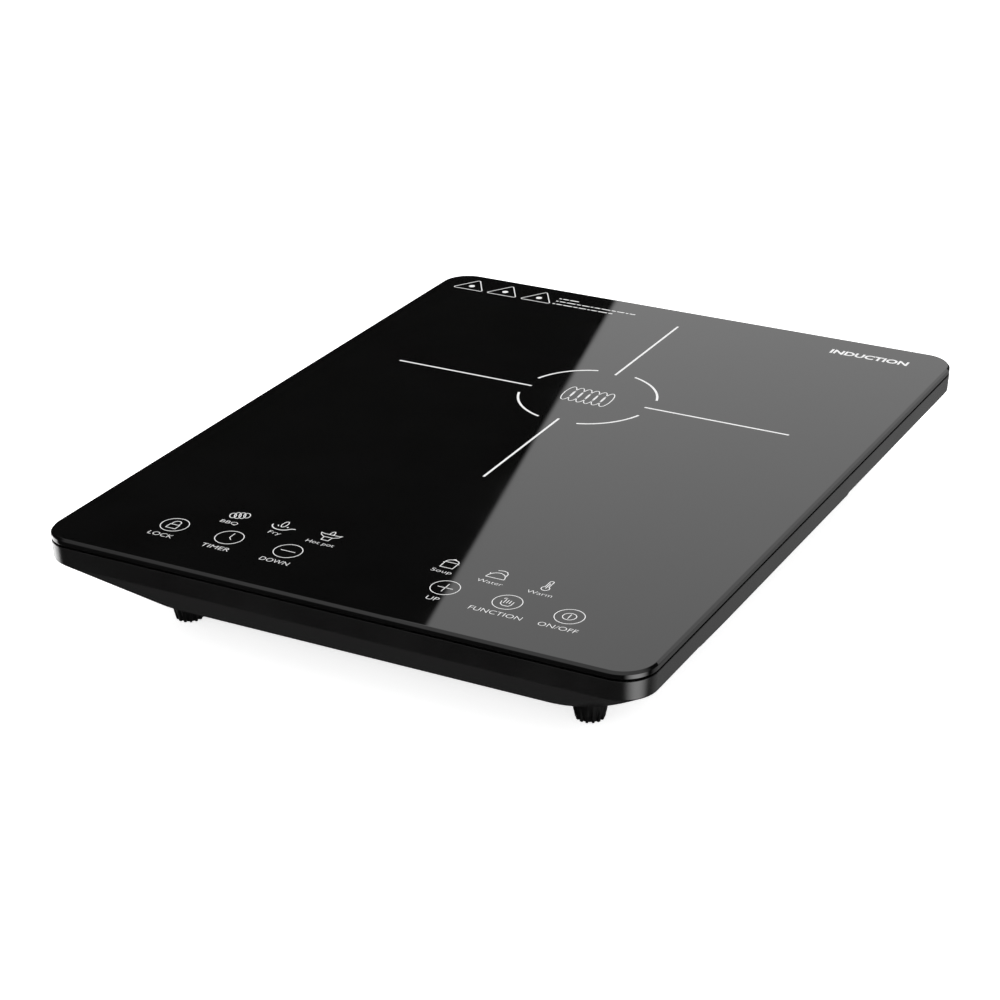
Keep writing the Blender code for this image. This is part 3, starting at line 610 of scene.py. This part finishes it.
def bottom_case(looks):
    posts = bmesh.new()
    for x, y, top, radius in case_posts():
        loft_into(posts, [circle(radius, z, 24, (x, y)) for z in (FLOOR - 1.0, top)])
    for _, x, y in four_corners(*SCREW_AT):
        loft_into(posts, [circle(WELL_WALL, z, 32, (x, y)) for z in (FLOOR - 1.5, FLOOR + 2.4)])
    boss = bmesh.new()
    block_into(boss, GLAND_BOSS, (GLAND_X, GLAND_FACE_Y - GLAND_BOSS[1] / 2, GLAND_Z))
    bmesh.ops.bevel(boss, geom=boss.edges[:], offset=1.0, segments=3, affect="EDGES")
    bore = turned(((GLAND_BORE, -16.0), (GLAND_BORE, 12.0)), 40)
    set_down(bore, -90, (GLAND_X, GLAND_FACE_Y - 8.0, GLAND_Z))
    narrow, wide = round_cuts()
    changes = (
        ("UNION", posts),
        ("UNION", vent_panels()),
        ("UNION", boss),
        ("DIFFERENCE", wide),
        ("DIFFERENCE", narrow),
        ("DIFFERENCE", vent_slots()),
        ("DIFFERENCE", grille_slots()),
        ("DIFFERENCE", bore),
    )
    made = piece("moulded_tray", tray_walls(), looks["casing_plastic"], changes)
    stand_for(made, "casing_plastic", "bottom_case")


def cord_gland(looks):
    profile = (
        (3.8, 0.0, 0.3),
        (5.8, 0.0, 0.3),
        (5.8, GLAND_SLEEVE, 0.0),
        (8.6, GLAND_SLEEVE, 0.3),
        (8.6, 17.0, 0.5),
        (6.6, 18.4, 0.5),
        (3.8, 18.4, 0.5),
    )
    form = turned(eased(profile, closed=True), 56, closed=True)
    set_down(form, -90, (GLAND_X, GLAND_FACE_Y + GAP - GLAND_SLEEVE, GLAND_Z))
    made = piece("cord_gland_rubber", form, looks["foot_rubber"])
    stand_for(made, "foot_rubber", "cord_gland")


def tooth_rise(angle):
    """How much of a tooth gap's depth is cut at an angle round the foot, from 0 to 1."""
    phase = (angle * FOOT_TEETH / (2 * math.pi)) % 1.0
    from_gap = abs(phase - 0.5) * 2
    return min(1.0, max(0.0, (0.62 - from_gap) / 0.3))


def foot_form(x, y):
    steps = FOOT_TEETH * 12
    top = BASE_Z - GAP
    # radius, height, share of the tooth's depth, share of the rib's depth
    profile = (
        (3.5, 1.6, 0.0, 0.0),
        (3.8, 0.0, 0.0, 0.0),
        (4.6, 0.0, 0.0, 0.0),
        (4.8, 0.0, 1.0, 0.0),
        (5.6, 0.0, 1.0, 0.3),
        (6.0, 0.25, 1.0, 1.0),
        (6.2, 0.9, 0.8, 1.0),
        (6.5, 2.4, 0.2, 1.0),
        (6.9, 4.2, 0.0, 0.9),
        (7.2, 6.2, 0.0, 0.5),
        (7.4, 7.6, 0.0, 0.0),
        (7.75, top - 0.5, 0.0, 0.0),
        (7.8, top - 0.2, 0.0, 0.0),
        (7.6, top, 0.0, 0.0),
        (3.1, top, 0.0, 0.0),
        (3.1, FLOOR + GAP, 0.0, 0.0),
        (4.1, FLOOR + GAP + 0.2, 0.0, 0.0),
        (3.6, FLOOR + 1.6, 0.0, 0.0),
        (2.2, FLOOR + 3.2, 0.0, 0.0),
    )
    rings = []
    for radius, z, toothed, ribbed in profile:
        ring = []
        for step in range(steps):
            angle = 2 * math.pi * step / steps
            gap = tooth_rise(angle)
            reach = radius - ribbed * RIB_DEEP * gap
            height = z + toothed * TOOTH_DEEP * gap
            ring.append((x + reach * math.cos(angle), y + reach * math.sin(angle), height))
        rings.append(ring)
    return loft(rings)


def feet(looks):
    for corner, x, y in four_corners(*FOOT_AT):
        made = piece(f"rubber_foot_{corner}", foot_form(x, y), looks["foot_rubber"])
        stand_for(made, "foot_rubber", f"foot_{corner}")


def plus_outline(reach, arm):
    """The corners of a plus sign, reach out from the middle and arm to each side of an arm's line."""
    quarter = [(reach, -arm), (reach, arm), (arm, arm)]
    outline = []
    for _ in range(4):
        outline += quarter
        quarter = [(-y, x) for x, y in quarter]
    return outline


def case_screws(looks):
    seat = BASE_Z + WELL_DEEP - GAP
    profile = (
        (SCREW_SHANK * 0.5, -13.0, 0.0),
        (SCREW_SHANK, -11.5, 0.3),
        (SCREW_SHANK, 0.0, 0.0),
        (SCREW_HEAD, 0.0, 0.2),
        (SCREW_HEAD * 0.95, 1.2, 0.6),
        (SCREW_HEAD * 0.6, 2.0, 0.5),
        (0.6, 2.0, 0.0),
    )
    for corner, x, y in four_corners(*SCREW_AT):
        form = turned(eased(profile), 36)
        recess = bmesh.new()
        prism_into(recess, plus_outline(RECESS_REACH, RECESS_ARM), 0.9, 2.9)
        for part in (form, recess):
            set_down(part, 180, (x, y, seat))
        made = piece(f"cross_screw_{corner}", form, looks["zinc_steel"], (("DIFFERENCE", recess),))
        stand_for(made, "zinc_steel", f"case_screw_{corner}")


# ---------------------------------------------------------------- the print on the glass


def stroke(form, points, width, closed=False):
    """A line of even width along the points, drawn on the glass with mitred corners."""
    places = [Vector(point[:2]) for point in points]
    count = len(places)
    rings = []
    for i, here in enumerate(places):
        before = places[i - 1] if closed or i else here
        after = places[(i + 1) % count] if closed or i < count - 1 else here
        ahead = (after - here).normalized() if after != here else (here - before).normalized()
        behind = (here - before).normalized() if before != here else ahead
        along = (ahead + behind).normalized()
        side = Vector((-along.y, along.x)) * (width / 2 / max(along.dot(ahead), 0.4))
        low, high = HEIGHT - 3 * PRINT_PROUD, HEIGHT
        left, right = here + side, here - side
        rings.append([(*left, low), (*right, low), (*right, high), (*left, high)])
    loft_into(form, rings, closed)


def arc(middle, radius_x, radius_y, start, end, steps=24, lean=0.0):
    """Points along part of an ellipse; lean shifts them along X as they rise."""
    turns = [math.radians(start + (end - start) * step / steps) for step in range(steps + 1)]
    points = [(radius_x * math.cos(t), radius_y * math.sin(t)) for t in turns]
    return [(middle[0] + px + lean * py, middle[1] + py) for px, py in points]


def ring(form, middle, radius, width, steps=48):
    stroke(form, arc(middle, radius, radius, 0, 360 - 360 / steps, steps - 1), width, closed=True)


def dot(form, middle, radius):
    prism_into(form, [p[:2] for p in circle(radius, 0.0, 20, middle)], HEIGHT - 3 * PRINT_PROUD, HEIGHT)


def word_mesh(words, weight):
    """The words as flat letters one unit in size, from Blender's own font."""
    text = bpy.data.curves.new("words", "FONT")
    text.body = words
    text.offset = weight
    text.extrude = 0.5
    text.resolution_u = 4
    holder = bpy.data.objects.new("words", text)
    bpy.context.scene.collection.objects.link(holder)
    shaped = holder.evaluated_get(bpy.context.evaluated_depsgraph_get())
    mesh = bpy.data.meshes.new_from_object(shaped)
    bpy.data.objects.remove(holder, do_unlink=True)
    bpy.data.curves.remove(text)
    return mesh


def write(form, words, middle, tall, wide, weight):
    """The words about a middle, with capitals as tall and the line as wide as given."""
    capital = word_mesh("H", weight)
    capital_tall = max(v.co.y for v in capital.vertices) - min(v.co.y for v in capital.vertices)
    letters = word_mesh(words, weight)
    left = min(v.co.x for v in letters.vertices)
    right = max(v.co.x for v in letters.vertices)
    scale_x, scale_y = wide / (right - left), tall / capital_tall
    thick = 3 * PRINT_PROUD
    for vertex in letters.vertices:
        x, y, z = vertex.co
        vertex.co = (
            middle[0] + (x - left) * scale_x - wide / 2,
            middle[1] + y * scale_y - tall / 2,
            HEIGHT - thick + (thick if z > 0 else 0.0),
        )
    form.from_mesh(letters)
    bpy.data.meshes.remove(letters)
    bpy.data.meshes.remove(capital)


def print_piece(name, form, looks):
    bmesh.ops.remove_doubles(form, verts=form.verts, dist=0.0005)
    made = piece(name, form, looks["print"])
    made.data.shade_flat()


def spun(points, middle, degrees):
    """The points turned about a middle."""
    turn = Matrix.Rotation(math.radians(degrees), 2)
    centre = Vector(middle)
    return [turn @ (Vector(point) - centre) + centre for point in points]


def around(x, y, places):
    return [(x + px, y + py) for px, py in places]


def cooking_zone(looks):
    """A broken ring, four arms and a coil sign, which say where the pan stands."""
    form = bmesh.new()
    x, y = ZONE
    for quarter in range(4):
        start, end = ARC_START + 90 * quarter, ARC_END + 90 * quarter
        stroke(form, arc(ZONE, ZONE_RADIUS, ZONE_RADIUS, start, end, 40), ZONE_LINE)
        arm = spun(((x + ARM_FROM, y), (x + ARM_TO, y)), ZONE, 90 * quarter)
        stroke(form, arm, ZONE_LINE)
    for i in range(LOOPS):
        middle = (x + 0.2 + LOOP_PITCH * (i - (LOOPS - 1) / 2), y - 0.2)
        stroke(form, arc(middle, 2.3, 8.1, 0, 350, 35, lean=-0.06), LOOP_LINE, closed=True)
    print_piece("print_cooking_zone", form, looks)


def lock_sign(form, x, y):
    body = ((-2.4, -3.3), (2.4, -3.3), (2.3, 0.2), (-2.3, 0.2))
    stroke(form, around(x, y, body), KEY_LINE, closed=True)
    shackle = [(x - 1.8, y + 0.2), *arc((x, y + 1.7), 1.8, 1.9, 180, 0, 12), (x + 1.8, y + 0.2)]
    stroke(form, shackle, KEY_LINE)


def clock_sign(form, x, y):
    stroke(form, around(x, y, ((0.0, 4.2), (0.1, 0.0), (1.7, -1.6))), KEY_LINE)


def minus_sign(form, x, y):
    stroke(form, ((x - 3.5, y), (x + 3.5, y)), KEY_LINE)


def plus_sign(form, x, y):
    minus_sign(form, x, y)
    stroke(form, ((x, y - 3.5), (x, y + 3.5)), KEY_LINE)


def hand_sign(form, x, y):
    """A flat hand with the first finger held out."""
    palm = ((-2.6, 0.2), (-2.2, -2.0), (-0.8, -3.2), (1.7, -3.2), (2.5, -1.9), (2.5, 1.0))
    stroke(form, around(x, y, palm), KEY_LINE)
    for px, low, high in ((-1.3, -1.2, 2.9), (-0.1, -1.0, 2.0), (1.1, -1.0, 1.7)):
        stroke(form, ((x + px, y + low), (x + px, y + high)), KEY_LINE)
    stroke(form, arc((x - 1.9, y + 2.1), 0.6, 0.8, 180, 0, 8), KEY_LINE)


def power_sign(form, x, y):
    ring(form, (x, y), 2.8, KEY_LINE, 36)
    stroke(form, ((x, y - 1.8), (x, y + 1.9)), KEY_LINE)


def touch_keys(looks):
    keys = (
        ("lock", "LOCK", 11.9, lock_sign),
        ("timer", "TIMER", 13.5, clock_sign),
        ("down", "DOWN", 13.6, minus_sign),
        ("up", "UP", 5.6, plus_sign),
        ("function", "FUNCTION", 23.3, hand_sign),
        ("on_off", "ON/OFF", 17.1, power_sign),
    )
    for x, (name, words, wide, sign) in zip(KEYS, keys):
        form = bmesh.new()
        ring(form, (x, KEY_Y), KEY_RADIUS - KEY_LINE / 2, KEY_LINE)
        sign(form, x, KEY_Y)
        write(form, words, (x, KEY_WORD_Y), KEY_WORD_TALL, wide, THIN)
        print_piece(f"print_key_{name}", form, looks)


def skewer_sign(form, x, y):
    """Four overlapping rounds on a slanted skewer."""
    for i in range(4):
        middle = (x + 0.4 + 2.0 * (i - 1.5), y)
        outline = spun(arc(middle, 1.4, 2.9 if i in (1, 2) else 2.3, 0, 340, 17), (x + 0.4, y), 24)
        stroke(form, outline, MODE_LINE, closed=True)


def frying_sign(form, x, y):
    bowl = arc((x - 0.5, y - 0.6), 4.7, 3.7, 178, 322, 16)
    stroke(form, [*bowl, (x + 4.4, y - 1.6), (x + 6.1, y - 1.1)], MODE_LINE + 0.15)
    stroke(form, arc((x - 0.4, y + 1.1), 1.15, 2.7, 0, 340, 17), MODE_LINE, closed=True)
    stroke(form, around(x, y, ((-2.8, -0.3), (-2.2, -1.5))), MODE_LINE)
    dot(form, (x + 2.1, y - 0.9), 0.4)


def stew_sign(form, x, y):
    """A wide dish with a knob, on a burner."""
    dish = ((-5.0, 1.7), (-4.2, 0.0), (-2.4, -1.3), (2.4, -1.3), (4.2, 0.0), (5.0, 1.7))
    lid = ((3.2, 1.2), (-3.2, 1.2))
    stroke(form, around(x, y, dish + lid), MODE_LINE, closed=True)
    stroke(form, around(x, y, ((-1.9, -1.3), (-1.7, -4.3), (1.7, -4.3), (1.9, -1.3))), MODE_LINE)
    stroke(form, arc((x, y + 1.4), 1.0, 2.8, 180, 0, 12), MODE_LINE)


def soup_sign(form, x, y):
    """A tall pot with a domed lid."""
    pot = ((-3.0, 0.9), (-2.9, -4.0), (2.9, -4.0), (3.0, 0.9))
    stroke(form, around(x, y, pot), MODE_LINE, closed=True)
    stroke(form, arc((x, y + 1.0), 3.0, 2.4, 180, 0, 16), MODE_LINE)
    stroke(form, around(x, y, ((-0.9, 3.5), (0.0, 4.1), (0.9, 3.5))), MODE_LINE)
    for side in (-1, 1):
        stroke(form, ((x + side * 3.0, y + 0.3), (x + side * 3.7, y + 0.3)), MODE_LINE)


def kettle_sign(form, x, y):
    stroke(form, arc((x, y - 3.5), 4.1, 4.8, 0, 180, 20), MODE_LINE, closed=True)
    handle = ((-1.9, 3.2), (0.6, 3.7), (2.4, 3.2), (3.4, 1.6), (3.6, -0.8))
    stroke(form, around(x, y, handle), MODE_LINE)
    stroke(form, around(x, y, ((-3.5, -0.9), (-3.9, 0.4))), MODE_LINE)


def warm_sign(form, x, y):
    """A thermometer: an upright tube that opens into a bulb."""
    bulb = arc((x, y - 2.6), 1.75, 1.75, 118, 422, 20)
    tip = arc((x, y + 3.3), 0.85, 0.85, 0, 180, 8)
    stroke(form, bulb + tip, MODE_LINE, closed=True)
    stroke(form, ((x, y - 2.6), (x, y + 2.2)), MODE_LINE)


def mode_marks(looks):
    modes = (
        ("grill", "BBQ", 8.3, skewer_sign),
        ("fry", "Fry", 5.8, frying_sign),
        ("stew", "Hot pot", 13.4, stew_sign),
        ("soup", "Soup", 9.4, soup_sign),
        ("water", "Water", 11.6, kettle_sign),
        ("warm", "Warm", 11.3, warm_sign),
    )
    for x, (name, words, wide, sign) in zip(MODES, modes):
        form = bmesh.new()
        sign(form, x, MODE_Y)
        write(form, words, (x, MODE_WORD_Y), MODE_WORD_TALL, wide, THIN)
        print_piece(f"print_mode_{name}", form, looks)


def rear_marks(looks):
    """Plain three-sided signs, plain dashes in place of small print, and a plain word."""
    form = bmesh.new()
    half, low, high = SIGN_SIDE / 2 - SIGN_ROUND, SIGN_ROUND, SIGN_TALL - 1.4
    for x in SIGN_XS:
        corners = []
        for px, py, start in ((-half, low, 150), (half, low, 270), (0.0, high, 30)):
            middle = (x + px, SIGN_LOW_Y + py)
            corners += arc(middle, SIGN_ROUND, SIGN_ROUND, start, start + 120, 6)
        stroke(form, corners, SIGN_LINE, closed=True)
        dot(form, (x, SIGN_LOW_Y + SIGN_TALL * 0.36), SIGN_DOT)
    print_piece("print_rear_signs", form, looks)
    form = bmesh.new()
    for y, right in DASH_ROWS:
        left = DASHES_LEFT
        for i in range(24):
            length = 1.4 + 0.9 * (i * 7 % 5)
            if left + length < right:
                stroke(form, ((left, y), (left + length, y)), DASH_LINE)
            left += length + DASH_GAP
    print_piece("print_rear_lines", form, looks)
    form = bmesh.new()
    write(form, "INDUCTION", PLAIN_WORD_AT, PLAIN_WORD_TALL, PLAIN_WORD_WIDE, BOLD)
    print_piece("print_plain_word", form, looks)


# ---------------------------------------------------------------- inside


def finish_inside(looks):
    """The CAD pieces that still show keep their shape and get their slot's finish."""
    slots = {part["node"]: part["material_slot"] for part in frame["record"]["subparts"]}
    for name, node in frame["nodes"].items():
        if node.hide_render:
            continue
        node.data.materials.clear()
        node.data.materials.append(looks[slots[name]])


# ---------------------------------------------------------------- the studio

CAMERA_AT = (488.6, -926.4, 505.7)
CAMERA_DOWN, CAMERA_ROUND = 65.08, 26.63  # degrees from straight down, and round from the front
LENS, SHIFT_X = 90.76, -0.0806
GLASS_EDGE_OF_LIGHT = ((-44.4, 176.0), (47.3, -180.5))  # where the panel's edge mirrors in the glass
PANEL_Y = 1500.0
PANEL_Z = (330.0, 1400.0)
PANEL_RIGHT = 1300.0
PANEL_GLOW = 1.13
PANEL_FADE = 7.0  # how wide its slanted edge fades
DAYLIGHT = 1.22
TABLE_GLOW = 0.75  # the floor is a lit white table, so that shadows on it stay faint
FLOOR_REACH = 12000.0

# What the gloss sees of the studio: (towards, full within, gone beyond, strength), angles in degrees
SOFT_LIGHTS = (
    ((0.0, 0.0, 1.0), 44.0, 60.0, 0.95),
    ((0.0, 0.0, -1.0), 44.0, 60.0, 0.018),
    ((0.41, 0.81, -0.42), 15.0, 36.0, 0.35),
)
# Round lights near the two front corners: (name, side, towards, full within, gone beyond, strength)
CORNER_GLOWS = (
    ("left", -1, (-0.88, 0.15, -0.42), 58.0, 122.0, 3.5),
    ("right", 1, (0.85, -0.36, -0.42), 15.0, 185.0, 5.0),
)
GLOW_AWAY, GLOW_FROM_Z = 220.0, 42.0
DARK = 0.015


def aim_camera():
    lens = bpy.data.cameras.new("camera")
    lens.lens = LENS
    lens.sensor_width = 36.0
    lens.shift_x = SHIFT_X
    lens.clip_start, lens.clip_end = 0.01, 100.0
    camera = bpy.data.objects.new("camera", lens)
    camera.location = Vector(CAMERA_AT) * MM
    camera.rotation_euler = (math.radians(CAMERA_DOWN), 0.0, math.radians(CAMERA_ROUND))
    bpy.context.scene.collection.objects.link(camera)
    bpy.context.scene.camera = camera


def panel_corner_x(z):
    """The panel's slanted left edge at a height: the line whose mirror image crosses the glass."""
    eye = Vector((CAMERA_AT[0], CAMERA_AT[1], 2 * GLASS_TOP - CAMERA_AT[2]))
    ends = []
    for x, y in GLASS_EDGE_OF_LIGHT:
        ray = Vector((x, y, GLASS_TOP)) - eye
        ends.append(eye + ray * ((PANEL_Y - eye.y) / ray.y))
    slant = (ends[1].x - ends[0].x) / (ends[1].z - ends[0].z)
    return ends[0].x + slant * (z - ends[0].z)


def studio_floor(looks):
    mesh = bpy.data.meshes.new("studio_floor")
    far = FLOOR_REACH * MM
    corners = [(-far, -far, 0.0), (far, -far, 0.0), (far, far, 0.0), (-far, far, 0.0)]
    mesh.from_pydata(corners, [], [(0, 1, 2, 3)])
    mesh.materials.append(looks["floor"])
    shader = looks["floor"].node_tree.nodes["Principled BSDF"]
    shader.inputs["Emission Color"].default_value = (1.0, 1.0, 1.0, 1.0)
    shader.inputs["Emission Strength"].default_value = TABLE_GLOW
    floor = bpy.data.objects.new("studio_floor", mesh)
    bpy.context.scene.collection.objects.link(floor)
    floor.visible_glossy = False


def faded(tree, value, gone, full, strength):
    """The strength where the value is full, fading smoothly to nothing where it is gone."""
    low, high, reverse = min(gone, full), max(gone, full), gone > full
    inputs = {
        "Value": value,
        "From Min": low,
        "From Max": high,
        "To Min": strength if reverse else 0.0,
        "To Max": 0.0 if reverse else strength,
    }
    return add_node(tree, "MapRange", inputs, interpolation_type="SMOOTHSTEP").outputs["Result"]


def glow_object(name, mesh, strength_of, clear):
    """A light that only gloss sees, as strong as the socket that strength_of makes in its material."""
    glow = bpy.data.materials.new(name)
    glow.use_nodes = True
    tree = glow.node_tree
    tree.nodes.clear()
    shown = add_node(tree, "Emission", {"Strength": strength_of(tree)}).outputs[0]
    if clear:
        through = add_node(tree, "BsdfTransparent").outputs[0]
        shown = add_node(tree, "AddShader", {0: shown, 1: through}).outputs[0]
    add_node(tree, "OutputMaterial", {"Surface": shown})
    mesh.materials.append(glow)
    made = bpy.data.objects.new(name, mesh)
    bpy.context.scene.collection.objects.link(made)
    made.visible_camera = False
    made.visible_diffuse = False
    made.visible_shadow = not clear
    return made


def light_panel():
    """A large soft panel behind the object, which the right of the glass mirrors."""
    low, high = PANEL_Z
    edge_low = Vector((panel_corner_x(low), PANEL_Y, low))
    edge_high = Vector((panel_corner_x(high), PANEL_Y, high))
    spare = Vector((PANEL_FADE, 0.0, 0.0))
    far_low, far_high = (PANEL_RIGHT, PANEL_Y, low), (PANEL_RIGHT, PANEL_Y, high)
    corners = (edge_low - spare, far_low, far_high, edge_high - spare)
    mesh = bpy.data.meshes.new("light_panel")
    mesh.from_pydata([Vector(corner) * MM for corner in corners], [], [(0, 1, 2, 3)])
    along = (edge_high - edge_low).normalized()
    across = Vector((along.z, 0.0, -along.x))
    edge = across.dot(edge_low) * MM
    half = PANEL_FADE * MM / 2

    def strength_of(tree):
        place = add_node(tree, "TexCoord").outputs["Object"]
        past = add_node(tree, "VectorMath", {0: place, 1: across}, operation="DOT_PRODUCT")
        return faded(tree, past.outputs["Value"], edge - half, edge + half, PANEL_GLOW)

    glow_object("light_panel", mesh, strength_of, clear=False)


def corner_glows():
    """A soft round light off each front corner of the frame, facing it."""
    for name, side, heading, inner, outer, strength in CORNER_GLOWS:
        mesh = bpy.data.meshes.new(f"corner_glow_{name}")
        rim = [Vector(point) * MM for point in circle(outer, 0.0, 48)]
        mesh.from_pydata(rim, [], [tuple(range(len(rim)))])

        def strength_of(tree, reach=(outer, inner), peak=strength):
            place = add_node(tree, "TexCoord").outputs["Object"]
            away = add_node(tree, "VectorMath", {0: place}, operation="LENGTH").outputs["Value"]
            return faded(tree, away, reach[0] * MM, reach[1] * MM, peak)

        made = glow_object(f"corner_glow_{name}", mesh, strength_of, clear=True)
        towards = Vector(heading).normalized()
        middle = Vector((side * HALF_X, -HALF_Y, GLOW_FROM_Z)) + towards * GLOW_AWAY
        made.location = middle * MM
        made.rotation_euler = towards.to_track_quat("Z", "Y").to_euler()


def studio_light():
    """Even daylight for matt surfaces, a few soft lights for gloss, and a white backdrop."""
    world = bpy.data.worlds.new("studio")
    world.use_nodes = True
    world.cycles.sampling_method = "NONE"
    tree = world.node_tree
    tree.nodes.clear()
    towards = add_node(tree, "TexCoord").outputs["Generated"]
    total = DARK
    for heading, inner, outer, strength in SOFT_LIGHTS:
        facing = add_node(
            tree, "VectorMath", {0: towards, 1: Vector(heading).normalized()}, operation="DOT_PRODUCT"
        )
        gone, full = math.cos(math.radians(outer)), math.cos(math.radians(inner))
        lit = faded(tree, facing.outputs["Value"], gone, full, strength)
        total = add_node(tree, "Math", {0: lit, 1: total}, operation="ADD").outputs[0]
    ray = add_node(tree, "LightPath").outputs
    matt = add_node(tree, "Background", {"Strength": DAYLIGHT}).outputs[0]
    gloss = add_node(tree, "Background", {"Strength": total}).outputs[0]
    backdrop = add_node(tree, "Background", {"Strength": 1.0}).outputs[0]
    for colour_of in (matt, gloss, backdrop):
        colour_of.node.inputs["Color"].default_value = (1.0, 1.0, 1.0, 1.0)
    lit = add_node(tree, "MixShader", {0: ray["Is Glossy Ray"], 1: matt, 2: gloss}).outputs[0]
    seen = add_node(tree, "MixShader", {0: ray["Is Camera Ray"], 1: lit, 2: backdrop}).outputs[0]
    tree.links.new(seen, add_node(tree, "OutputWorld").inputs["Surface"])
    bpy.context.scene.world = world
    bpy.context.scene.view_settings.view_transform = "Standard"


looks = finishes()
glass_plate(looks)
top_frame(looks)
bottom_case(looks)
cord_gland(looks)
feet(looks)
case_screws(looks)
cooking_zone(looks)
touch_keys(looks)
mode_marks(looks)
rear_marks(looks)
finish_inside(looks)
studio_floor(looks)
light_panel()
corner_glows()
studio_light()
aim_camera()
